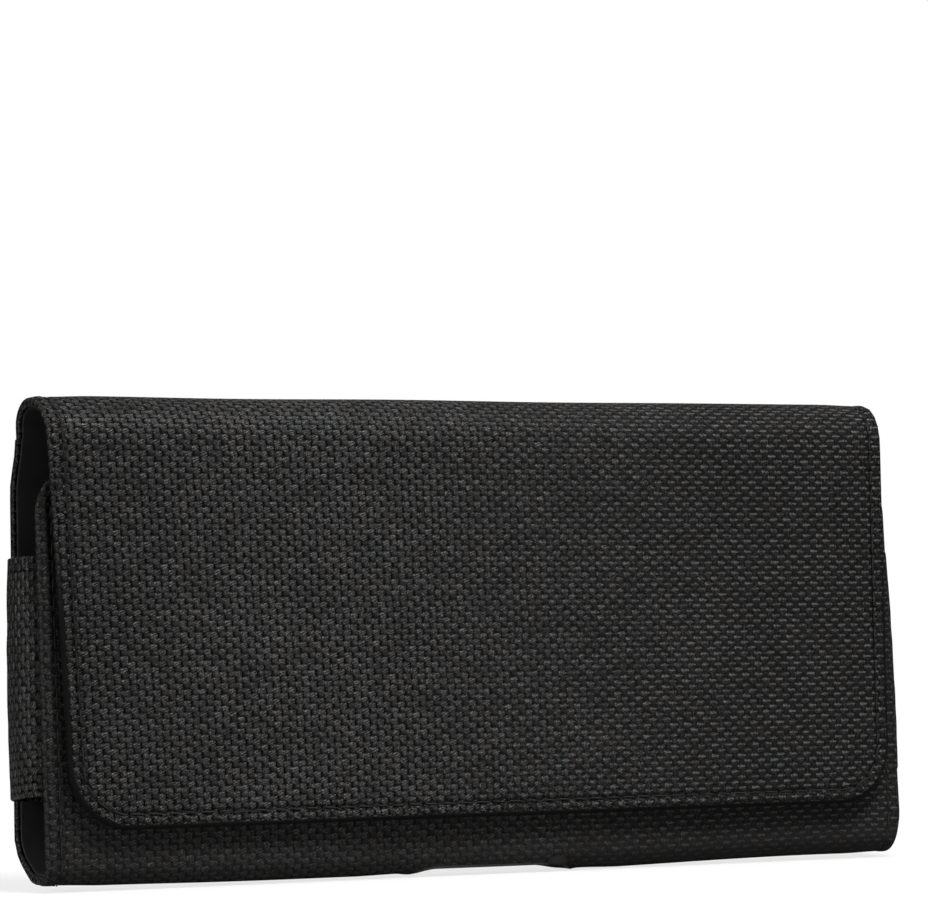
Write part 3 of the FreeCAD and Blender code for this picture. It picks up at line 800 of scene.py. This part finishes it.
def flap_half(depth, height):
    """Half the flap's width: its sides draw in towards the front and downwards."""
    drop = (HEIGHT - height) / (HEIGHT - FLAP_LOW)
    return HALF + FLAP_TAPER * depth - FLAP_NARROWING * drop + FLAP_RIM * smooth(-depth, *FLAP_RIM_FADE)


def below(x, point, normal, depth, sag=0.0):
    """Places at a depth below the outer face, whose points and normals are given."""
    return placed(x, point[..., 0] - normal[..., 0] * depth, point[..., 1] - normal[..., 1] * depth - sag)


def place_pouch(x, s, depth):
    point, normal = WHOLE.at(s)
    band = back_band(s)
    depth = depth - band * BACK_BOW * smooth(np.abs(x), *BOW_FADE)
    front = smooth(-point[..., 0], *FRONT_FADE)
    low = 1 - smooth(point[..., 1], *SAG_HEIGHTS)
    sag = UNDERSIDE_SAG * (1 - smooth(np.abs(x), *SAG_FADE)) * low
    x = x * (1 + (band * BACK_SPREAD + front * FRONT_SPREAD) / HALF)
    x = x - CORNER_DRAW * smooth(x, *CORNER_FADE) * (1 - smooth(point[..., 1], *CORNER_HEIGHTS)) * front
    return below(x, point, normal, depth, sag)


def place_flap(x, s, depth):
    point, normal = WHOLE.at(s)
    return below(x * (flap_half(point[..., 0], point[..., 1]) / HALF), point, normal, depth)


def relief(distance, x, s, sewn=1.0):
    """How far the outer face stands out: a full hem, a sewn groove and a slightly full middle."""
    hem = HEM_HEIGHT * bump(distance, *HEM_PLACE)
    groove = -GROOVE_DEPTH * sewn * bump(distance, *GROOVE_PLACE)
    middle = MIDDLE_HEIGHT * smooth(distance, *MIDDLE_FADE)
    return hem + groove + middle - RELIEF_SINK + wander(x, s, seed=4, size=60.0, amount=0.12)


def back_band(s):
    """The stretch of the back which the straps pull outwards: one there and nought elsewhere."""
    point, _ = WHOLE.at(s)
    height = point[..., 1]
    rising = smooth(point[..., 0], *BAND_DEPTHS) * smooth(height, *BAND_FOOT)
    return rising * (1 - smooth(height, *BAND_TOP))


def pouch_relief(distance, x, s):
    """The front's relief, with the small lump where the rolled edge of the cut-out ends."""
    near_cut = 1 - smooth(np.abs(x), NOTCH_HALF + 3.5, NOTCH_HALF + 5.5)
    near_cut = near_cut * smooth(s, NOTCH_START - 6, NOTCH_START - 4)
    near_cut = near_cut * (1 - smooth(s, NOTCH_END + 4, NOTCH_END + 6))
    sewn = (1 - 0.8 * bump(s, BOTTOM, 9.0)) * (1 - near_cut)
    roll = LIP_HEIGHT * near_cut * bump(distance, 1.1, 0.5)
    knot = KNOT_HEIGHT * bump(x, KNOT_PLACE, 2.0) * bump(s, NOTCH_END + 1.2, 1.1)
    return relief(distance, x, s, sewn) + roll + knot


def outer_depth(shape):
    def depth(distance, x, s):
        return rim_drop(distance, RIM, SHEET_THICK) - shape(distance, x, s) * smooth(distance, 0, RIM)
    return depth


def inner_depth(distance, x, s):
    recess = (LINING_THICK + 0.05) * smooth(distance, 0.5, 0.85)
    return SHEET_THICK - rim_drop(distance, RIM, SHEET_THICK) - recess


def lining_top(distance, x, s):
    return SHEET_THICK - LINING_THICK + LINING_GAP + rim_drop(distance, LINING_RIM, LINING_THICK)


def lining_bottom(distance, x, s):
    face = SHEET_THICK + LINING_GAP - rim_drop(distance, LINING_RIM, LINING_THICK)
    return face + wander(x, s, seed=9, size=25.0, amount=0.03)


def cut_area(width, length, corner=0.0, hole=None):
    """The flat area of a cut sheet with two rounded corners and perhaps a rounded hole."""
    lost = 1 - math.pi / 4
    area = width * length - 2 * lost * corner ** 2
    if hole:
        _, half_size, radius = hole
        area -= 4 * half_size[0] * half_size[1] - 4 * lost * radius ** 2
    return area * MM * MM


def length_below(start, end, depth=SHEET_THICK - LINING_THICK / 2):
    """The length of a stretch of the bent sheet at a depth below its outer face."""
    point, normal = WHOLE.at(np.linspace(start, end, 4001))
    return float(np.linalg.norm(np.diff(point - normal * depth, axis=0), axis=1).sum())


def declare_sheet(piece, width, length, held, on, corner=0.0, hole=None, parts=()):
    cut_area(width, length, corner, hole)
    list(parts)
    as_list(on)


def cut_out(wider=0.0):
    """The cut-out in the pouch's bottom edge as a hole: its middle, half its size and its corners."""
    half_size = (NOTCH_HALF + wider, (NOTCH_END - NOTCH_START) / 2 + wider)
    return (NOTCH_START + NOTCH_END) / 2, half_size, NOTCH_CORNER + wider


def shell_object(name, blank, place, shape, material):
    return sheet_object(name, blank, place, outer_depth(shape), inner_depth, [material, LINING],
                        turn_in=TURN_IN)


def lining_object(name, blank, place):
    return sheet_object(name, blank, place, lining_top, lining_bottom, [LINING], LINING_RIM)


def bend_at_seam(piece):
    """Bakes the piece's place into its mesh. Where a bend just above the seam would start and end is worked
    out, but no bend is set up.
    """
    start = placed(0.0, 0.0, HINGE + BEND_START)
    end = placed(0.0, 0.0, HINGE + BEND_END)
    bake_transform(piece)


def make_pouch_shell():
    hole = cut_out()
    blank = Blank(HALF, SEAM, WHOLE.length, corner_end=MOUTH_CORNER, open_start=True, hole=hole)
    shell = shell_object("pouch_shell", blank, place_pouch, pouch_relief, NYLON)
    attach(shell, "pouch")
    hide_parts("pouch_cover", "pouch_interlining")
    declare_sheet(shell, 2 * HALF, WHOLE.length - SEAM, "folded", ["belt_clip"], MOUTH_CORNER, hole)


def make_flap_shell():
    """The flap, which turns as one, and the strip above the seam, where the sheet bends as the flap opens,
    drawn at rest as a piece of its own.
    """
    flap = Blank(HALF, 0.0, FLAP_CUT, corner_start=FLAP_CORNER, open_end=True)
    shell = shell_object("flap_shell", flap, place_flap, relief, FLAP_NYLON)
    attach(shell, "flap")
    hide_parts("flap_cover", "flap_interlining")
    strip = Blank(HALF, FLAP_CUT, SEAM, open_start=True, open_end=True, cell_along=STRIP_CELL)
    bending = shell_object("hinge_shell", strip, place_flap, relief, FLAP_NYLON)
    bend_at_seam(bending)
    declare_sheet(shell, 2 * HALF, SEAM, "folded", ["pouch_shell"], FLAP_CORNER, parts=[bending])


def make_pouch_lining():
    hole = cut_out(LINING_INSET)
    half = HALF - LINING_INSET
    end = WHOLE.length - LINING_INSET
    corner = MOUTH_CORNER - LINING_INSET
    blank = Blank(half, SEAM, end, corner_end=corner, open_start=True, hole=hole, steps=THIN_STEPS)
    lining = lining_object("pouch_inner_lining", blank, place_pouch)
    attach(lining, "pouch")
    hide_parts("pouch_lining")
    declare_sheet(lining, 2 * half, length_below(SEAM, end), "folded", ["pouch_shell"], corner, hole)


def make_flap_lining():
    half = HALF - LINING_INSET
    corner = FLAP_CORNER - LINING_INSET
    flap = Blank(half, LINING_INSET, FLAP_CUT, corner_start=corner, open_end=True, steps=THIN_STEPS)
    lining = lining_object("flap_inner_lining", flap, place_flap)
    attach(lining, "flap")
    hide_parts("flap_lining")
    strip = Blank(half, FLAP_CUT, SEAM, open_start=True, open_end=True, steps=THIN_STEPS,
                  cell_along=STRIP_CELL)
    bending = lining_object("hinge_lining", strip, place_flap)
    bend_at_seam(bending)
    declare_sheet(lining, 2 * half, length_below(LINING_INSET, SEAM), "folded", ["flap_shell"], corner,
                  parts=[bending])


# Side straps

STRAP_THICK = 1.0
STRAP_OUT = gusset_high.x / MM
STRAP_INNER = gusset_low.x / MM
STRAP_BEND = 5.4
STRAP_LEVEL = 40.0
STRAP_FLATTENED = 0.45
STRAP_FLAT_REACH = 24.0
STRAP_FLAT_FADE = (90, 97)
STRAP_SINK = 0.03
STRAP_RIM = 0.5
LEFT_DRAWN_IN = 0.75
STRAP_LOW = (16.0, 17.7)
STRAP_HIGH = (63.0, 63.4)


def strap_section(height, drawn_in=0.0):
    """Plan of the strap's outer face at a height, from inside the back round to the front panel."""
    out = STRAP_OUT - drawn_in
    front = -(LOW_DEPTH - LEAN * height) + SHEET_THICK * SLANT
    back = BACK_BOW - SHEET_THICK
    return Section([
        (STRAP_INNER, back),
        (out, back, STRAP_BEND),
        (out, front, STRAP_BEND),
        (STRAP_INNER, front),
    ])


def place_side(side):
    """Where points of a side's strap lie, x up it and s round it."""
    low_level, high_level = STRAP_LOW[0], STRAP_HIGH[1]
    drawn_in = LEFT_DRAWN_IN if side < 0 else 0.0
    low_line = strap_section(low_level, drawn_in)
    high_line = strap_section(high_level, drawn_in)

    def place(x, s, depth):
        along = s / STRAP_LENGTH
        low_point, low_normal = low_line.at(along * low_line.length)
        high_point, high_normal = high_line.at(along * high_line.length)
        forward = np.clip(-low_point[..., 1] / LOW_DEPTH, 0, 1)
        bottom = STRAP_LOW[0] + (STRAP_LOW[1] - STRAP_LOW[0]) * forward
        top = STRAP_HIGH[0] + (STRAP_HIGH[1] - STRAP_HIGH[0]) * forward
        level = bottom + (top - bottom) * (x + STRAP_REACH) / (2 * STRAP_REACH)
        share = ((level - low_level) / (high_level - low_level))[..., None]
        point = low_point * (1 - share) + high_point * share
        normal = low_normal * (1 - share) + high_normal * share
        flat = STRAP_FLATTENED * ((level - STRAP_LEVEL) / STRAP_FLAT_REACH) ** 2
        flat = flat * smooth(point[..., 0], *STRAP_FLAT_FADE)
        point = point - normal * (depth + flat + STRAP_SINK)[..., None]
        return placed(point[..., 0] * side, point[..., 1], level)
    return place


STRAP_REACH = (STRAP_HIGH[0] - STRAP_LOW[0]) / 2
STRAP_LENGTH = strap_section(STRAP_LEVEL).length
STRAP_STEPS = [0, 0.05, 0.12, 0.24, 0.38, 0.5, 1.0, 1.8]


def make_straps(name, node, blank, place_on, faces, material, rim, size):
    """A left and a right strap, which stand for the node's two pieces."""
    for word, side in (("_left", -1), ("_right", 1)):
        strap = sheet_object(name + word, blank, place_on(side), *faces, [material], rim)
        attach(strap, "pouch")
        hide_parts(node + word)
        declare_sheet(strap, *size, "stretched", ["pouch_shell"])


def make_side_straps():
    blank = Blank(STRAP_REACH, 0.0, STRAP_LENGTH, steps=STRAP_STEPS, cell=1.6)

    def uneven(x, s):
        return wander(x, s, seed=12, size=9.0, amount=0.05)

    def top(distance, x, s):
        return rim_drop(distance, STRAP_RIM, STRAP_THICK) + uneven(x, s)

    def bottom(distance, x, s):
        return STRAP_THICK - rim_drop(distance, STRAP_RIM, STRAP_THICK) + uneven(x, s)

    make_straps("side_strap", "side_gusset", blank, place_side, (top, bottom), STRAP_NYLON, STRAP_RIM,
                (2 * STRAP_REACH, STRAP_LENGTH))


# Belt loops

LOOP_HALF = (loop_high.x - loop_low.x) / MM / 2
LOOP_MIDDLE = (loop_high.x + loop_low.x) / MM / 2
LOOP_THICK = 1.6
LOOP_GAP = (loop_high.y - BACK_Y) / MM - LOOP_THICK
LOOP_TAB = 10.0
LOOP_RISE = 8.0
LOOP_BEND = 4.0
LOOP_RIM = 0.7
LOOP_STEPS = [0, 0.05, 0.16, 0.33, 0.52, 0.7, 1.3, 2.4]
LOOP_TOP = (loop_high.z - UNDERSIDE_Z) / MM
LOOP_FOOT = (loop_low.z - UNDERSIDE_Z) / MM
LOOP_SHIFT = LOOP_THICK * (math.hypot(LOOP_RISE, LOOP_GAP) - LOOP_RISE) / LOOP_GAP
LOOP_OUT = LOOP_GAP + LOOP_THICK
LOOP_LINE = Section([
    (LOOP_THICK, LOOP_TOP),
    (LOOP_THICK, LOOP_TOP - LOOP_TAB + LOOP_SHIFT, LOOP_BEND),
    (LOOP_OUT, LOOP_TOP - LOOP_TAB - LOOP_RISE + LOOP_SHIFT, LOOP_BEND),
    (LOOP_OUT, LOOP_FOOT + LOOP_TAB + LOOP_RISE - LOOP_SHIFT, LOOP_BEND),
    (LOOP_THICK, LOOP_FOOT + LOOP_TAB - LOOP_SHIFT, LOOP_BEND),
    (LOOP_THICK, LOOP_FOOT),
])


def place_loop(side):
    """Where points of a belt loop's strap lie, x across it and s down it."""
    return lambda x, s, depth: below(x + side * LOOP_MIDDLE, *LOOP_LINE.at(s), depth)


def make_belt_loops():
    blank = Blank(LOOP_HALF, 0.0, LOOP_LINE.length, steps=LOOP_STEPS, cell=1.8)

    def top(distance, x, s):
        return rim_drop(distance, LOOP_RIM, LOOP_THICK) + 0.12 * bump(distance, 2.6, 0.4)

    def bottom(distance, x, s):
        return LOOP_THICK - rim_drop(distance, LOOP_RIM, LOOP_THICK)

    make_straps("belt_strap", "belt_loop", blank, place_loop, (top, bottom), LOOP_WEB, LOOP_RIM,
                (2 * LOOP_HALF, LOOP_LINE.length))


# Stitches

def stitch_tree(material):
    """Short round threads laid one after another along lines, each a little askew."""
    tree = bpy.data.node_groups.new("stitch_row", "GeometryNodeTree")
    tree.interface.new_socket("Lines", in_out="INPUT", socket_type="NodeSocketGeometry")

    def add(kind, inputs=None, **settings):
        return add_node(tree, kind, settings, inputs)

    for name in ("Pitch", "Stitch Length", "Thickness", "Slant", "Sway"):
        tree.interface.new_socket(name, in_out="INPUT", socket_type="NodeSocketFloat")
    tree.interface.new_socket("Stitches", in_out="OUTPUT", socket_type="NodeSocketGeometry")
    given = add("NodeGroupInput")
    lines = add("GeometryNodeMeshToCurve", {"Mesh": given["Lines"]})
    points = add("GeometryNodeCurveToPoints", {"Curve": lines["Curve"], "Length": given["Pitch"]},
                 mode="LENGTH")
    along = add("FunctionNodeAlignRotationToVector", {"Vector": points["Tangent"]}, axis="Z")
    lean = add("FunctionNodeRandomValue", {2: -1.0, 3: 1.0, "Seed": 5}, data_type="FLOAT")
    sway = add("ShaderNodeMath", {0: lean[1], 1: given["Sway"], 2: given["Slant"]},
               operation="MULTIPLY_ADD")
    tilt = add("ShaderNodeCombineXYZ", {"Y": sway[0]})
    turn = add("FunctionNodeEulerToRotation", {"Euler": tilt[0]})
    tilted = add("FunctionNodeRotateRotation", {"Rotation": along[0], "Rotate By": turn[0]},
                 rotation_space="LOCAL")
    half = add("ShaderNodeMath", {0: given["Stitch Length"], 1: 0.5}, operation="MULTIPLY")
    size = add("ShaderNodeCombineXYZ", {"X": given["Thickness"], "Y": given["Thickness"], "Z": half[0]})
    thread = add("GeometryNodeMeshUVSphere", {"Segments": 8, "Rings": 7, "Radius": 1.0})
    laid = add("GeometryNodeInstanceOnPoints", {
        "Points": points["Points"], "Instance": thread["Mesh"], "Rotation": tilted[0], "Scale": size[0]})
    real = add("GeometryNodeRealizeInstances", {"Geometry": laid[0]})
    smoothed = add("GeometryNodeSetShadeSmooth", {"Geometry": real[0]})
    dressed = add("GeometryNodeSetMaterial", {"Geometry": smoothed[0], "Material": material})
    add("NodeGroupOutput", {"Stitches": dressed[0]})
    return tree


STITCH_LONG = 3.0
STITCH_SLANT = 0.05
STITCH_DEPTH = 0.40
BACK_ROW_DEPTH = 0.16
LOOP_STITCH_DEPTH = 0.03
BACK_ROWS = (2.4, 5.0)


def sew(name, lines, tree, pitch=3.6, long=STITCH_LONG, thick=0.19):
    """A mesh of the stitches along lines of points, which are in metres."""
    vertices = np.concatenate(lines)
    edges = []
    first = 0
    for line in lines:
        edges += [(first + k, first + k + 1) for k in range(len(line) - 1)]
        first += len(line)
    guide = object_from(name + "_lines", vertices, [], edges=edges)
    modifier = guide.modifiers.new("stitches", "NODES")
    modifier.node_group = tree
    sizes = {"Pitch": pitch * MM, "Stitch Length": long * MM, "Thickness": thick * MM,
             "Slant": STITCH_SLANT, "Sway": STITCH_SLANT}
    for item in tree.interface.items_tree:
        if item.name in sizes:
            modifier[item.identifier] = sizes[item.name]
    graph = bpy.context.evaluated_depsgraph_get()
    made = bpy.data.meshes.new_from_object(guide.evaluated_get(graph))
    made.name = name
    bpy.data.objects.remove(guide)
    return linked(name, made)


def arc_points(centre, radius, first, last, parts=12):
    angles = np.radians(np.linspace(first, last, parts + 1))
    return np.stack([centre[0] + radius * np.cos(angles), centre[1] + radius * np.sin(angles)], axis=-1)


def hem_line(half, low, high, corner, inset):
    """A line sewn round a sheet: down one side, round its two lower corners and up the other."""
    radius = corner - inset
    x = half - corner
    s = low + corner
    return np.concatenate([
        [(-(half - inset), at) for at in np.arange(high, s, -1.0)],
        arc_points((-x, s), radius, 180, 270),
        [(at, low + inset) for at in np.arange(-x + 1, x, 1.0)],
        arc_points((x, s), radius, 270, 360),
        [(half - inset, at) for at in np.arange(s + 1, high, 1.0)],
    ])


def on_sheet(place, line, depth):
    line = np.asarray(line, float)
    return place(line[:, 0], line[:, 1], np.broadcast_to(depth, len(line)))


def sunk(line):
    """Depths for straight stitches along the sheet, deeper on a bend, so that their ends lie on it."""
    s = np.asarray(line, float)[:, 1]
    _, before = WHOLE.at(np.clip(s - STITCH_LONG / 2, 0, WHOLE.length))
    _, after = WHOLE.at(np.clip(s + STITCH_LONG / 2, 0, WHOLE.length))
    turned = np.arccos(np.clip((before * after).sum(axis=-1), -1, 1))
    return STITCH_DEPTH + 0.1 * STITCH_LONG * turned


def make_stitches():
    tree = stitch_tree(THREAD)
    inset = STITCH_INSET
    round_flap = hem_line(HALF, 0.0, FLAP_CUT, FLAP_CORNER, inset)
    on_flap = sew("flap_stitches", [on_sheet(place_flap, round_flap, sunk(round_flap))], tree)
    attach(on_flap, "flap")
    sides = []
    for side in (-1, 1):
        line = [(side * (HALF - inset), at) for at in np.arange(FLAP_CUT + 0.6, SEAM, 0.5)]
        sides.append(on_sheet(place_flap, line, sunk(line)))
    at_hinge = sew("hinge_stitches", sides, tree)
    bend_at_seam(at_hinge)
    mouth = hem_line(HALF, -WHOLE.length, -SEAM - 6.0, MOUTH_CORNER, inset) * (1, -1)
    pouch = [on_sheet(place_pouch, mouth, sunk(mouth))]
    for row in BACK_ROWS:
        across = [(at, SEAM + row) for at in np.arange(-HALF + inset, HALF - inset + 0.5, 1.0)]
        pouch.append(on_sheet(place_pouch, across, BACK_ROW_DEPTH))
    on_pouch = sew("pouch_stitches", pouch, tree)
    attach(on_pouch, "pouch")
    boxes = box_stitches(-1) + box_stitches(1)
    on_loops = sew("loop_stitches", boxes, stitch_tree(LOOP_THREAD), pitch=2.6, long=2.2, thick=0.24)
    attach(on_loops, "pouch")


def box_stitches(side, inset=2.0):
    """Two boxes with a cross, which sew a belt loop's two ends to the back."""
    place = place_loop(side)
    x = LOOP_HALF - inset
    end = LOOP_LINE.length
    rows = []
    for low, high in ((1.6, LOOP_TAB - 2.2), (end - LOOP_TAB + 2.2, end - 1.6)):
        ring = [(-x, low), (x, low), (x, high), (-x, high), (-x, low)]
        for first, last in list(zip(ring, ring[1:])) + [(ring[0], ring[2]), (ring[1], ring[3])]:
            steps = np.linspace(0, 1, 12)[:, None]
            line = np.array(first) * (1 - steps) + np.array(last) * steps
            rows.append(on_sheet(place, line, LOOP_STITCH_DEPTH))
    return rows


# Camera, floor and light

CAMERA_YAW = 24.29
CAMERA_PITCH = 3.33
CAMERA_ROLL = -1.15
CAMERA_DISTANCE = 772.3
CAMERA_AIM = (-1.21, -10.0, 84.41)
CAMERA_LENS = 148.03
WHITE = (1, 1, 1, 1)
FLOOR_PALE = (0.92, 0.92, 0.92, 1)
FLOOR_SHADE = (0.40, 0.40, 0.40, 1)
FLOOR_GLOW = 0.75
FLOOR_CLEAR = 0.16
FLOOR_GONE = 0.34
FLOOR_HALF = 0.6
FLOOR_DROP = 0.2
SKY_LOW = 0.04
SKY_HIGH = 0.34
LAMPS = [
    ("key", (0.08, -0.50, 0.85), 0.35, 9.2),
    ("front", (0.15, -1.20, 0.02), 0.5, 1.3),
    ("side", (-1.0, -0.12, 0.30), 0.5, 3.8),
    ("back", (0.35, 1.05, 0.05), 0.5, 13.0),
]


def make_camera():
    yaw, pitch, roll = (math.radians(angle) for angle in (CAMERA_YAW, CAMERA_PITCH, CAMERA_ROLL))
    ahead = Vector((math.sin(yaw) * math.cos(pitch), math.cos(yaw) * math.cos(pitch), math.sin(pitch)))
    right = Vector((math.cos(yaw), -math.sin(yaw), 0))
    up = right.cross(ahead)
    turned_right = right * math.cos(roll) + up * math.sin(roll)
    turned_up = up * math.cos(roll) - right * math.sin(roll)
    aim = Vector(placed(*CAMERA_AIM))
    data = bpy.data.cameras.new("camera")
    data.lens = CAMERA_LENS
    data.sensor_width = 36.0
    data.sensor_fit = "HORIZONTAL"
    data.clip_start = 0.05
    camera = linked("camera", data)
    turn = Matrix((turned_right, turned_up, -ahead)).transposed().to_4x4()
    camera.matrix_world = Matrix.Translation(aim - ahead * CAMERA_DISTANCE * MM) @ turn
    bpy.context.scene.camera = camera


def make_floor():
    shader = Shader("pale_floor")
    place = shader.place()
    far = shader.node("VectorMath", {"operation": "LENGTH"}, {"Vector": place}, "Value")
    bare = shader.node("BsdfDiffuse", None, {"Color": FLOOR_PALE})
    glow = shader.node("Emission", None, {"Color": WHITE, "Strength": 1.0})
    pale = shader.node("MixShader", None, {0: FLOOR_GLOW, 1: bare, 2: glow})
    shade = shader.node("BsdfDiffuse", None, {"Color": FLOOR_SHADE})
    clear = shader.node("BsdfTransparent")
    seen = shader.node("LightPath", out="Is Camera Ray")
    near = shader.node("MixShader", None, {0: seen, 1: shade, 2: pale})
    material = shader.close(shader.node("MixShader", None, {
        0: far.step(FLOOR_CLEAR, FLOOR_GONE), 1: near, 2: clear}))
    level = UNDERSIDE_Z - (UNDERSIDE_SAG + FLOOR_DROP) * MM
    corners = [(x * FLOOR_HALF, y * FLOOR_HALF, level) for x, y in ((-1, -1), (1, -1), (1, 1), (-1, 1))]
    floor = object_from("floor", corners, [(0, 1, 2, 3)], [material])


def make_light():
    world = bpy.data.worlds.new("studio")
    bpy.context.scene.world = world
    world.use_nodes = True
    tree = world.node_tree
    tree.nodes.clear()
    path = add_node(tree, "ShaderNodeLightPath")
    seen = add_node(tree, "ShaderNodeMath", {"operation": "MAXIMUM"}, {
        0: path["Is Camera Ray"], 1: path["Is Transmission Ray"]})
    way = add_node(tree, "ShaderNodeTexCoord")
    parts = add_node(tree, "ShaderNodeSeparateXYZ", None, {0: way["Generated"]})
    rise = add_node(tree, "ShaderNodeMapRange", {"interpolation_type": "SMOOTHSTEP"}, {
        "Value": parts["Z"], "From Min": -0.2, "From Max": 0.8, "To Min": SKY_LOW, "To Max": SKY_HIGH})
    dim = add_node(tree, "ShaderNodeBackground", None, {"Color": WHITE, "Strength": rise[0]})
    white = add_node(tree, "ShaderNodeBackground", None, {"Color": WHITE, "Strength": 1.0})
    mixed = add_node(tree, "ShaderNodeMixShader", None, {0: seen[0], 1: dim[0], 2: white[0]})
    add_node(tree, "ShaderNodeOutputWorld", None, {0: mixed[0]})
    for lamp in LAMPS:
        make_lamp(*lamp)


def make_lamp(name, place, size, power):
    data = bpy.data.lights.new(name, "AREA")
    data.shape = "DISK"
    data.size = size
    data.energy = power
    lamp = linked(name, data)
    lamp.location = place
    lamp.visible_camera = False
    aim = Vector((0, 0, 0)) - Vector(place)
    lamp.rotation_euler = aim.to_track_quat("-Z", "Y").to_euler()


def dress_frame():
    """Gives the rigid pieces that stay their finish."""
    finishes = {
        "belt_clip": PAINTED, "clip_rivets": STEEL, "clip_backing_plate": STEEL,
        "front_magnet_left": MAGNET, "front_magnet_right": MAGNET,
        "flap_magnet_left": MAGNET, "flap_magnet_right": MAGNET,
    }
    for node, material in finishes.items():
        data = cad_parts[node].data
        data.materials.clear()
        data.materials.append(material)


make_pouch_shell()
make_flap_shell()
make_pouch_lining()
make_flap_lining()
make_side_straps()
make_belt_loops()
make_stitches()
dress_frame()
make_camera()
make_floor()
make_light()
bpy.context.scene.view_settings.view_transform = "Standard"
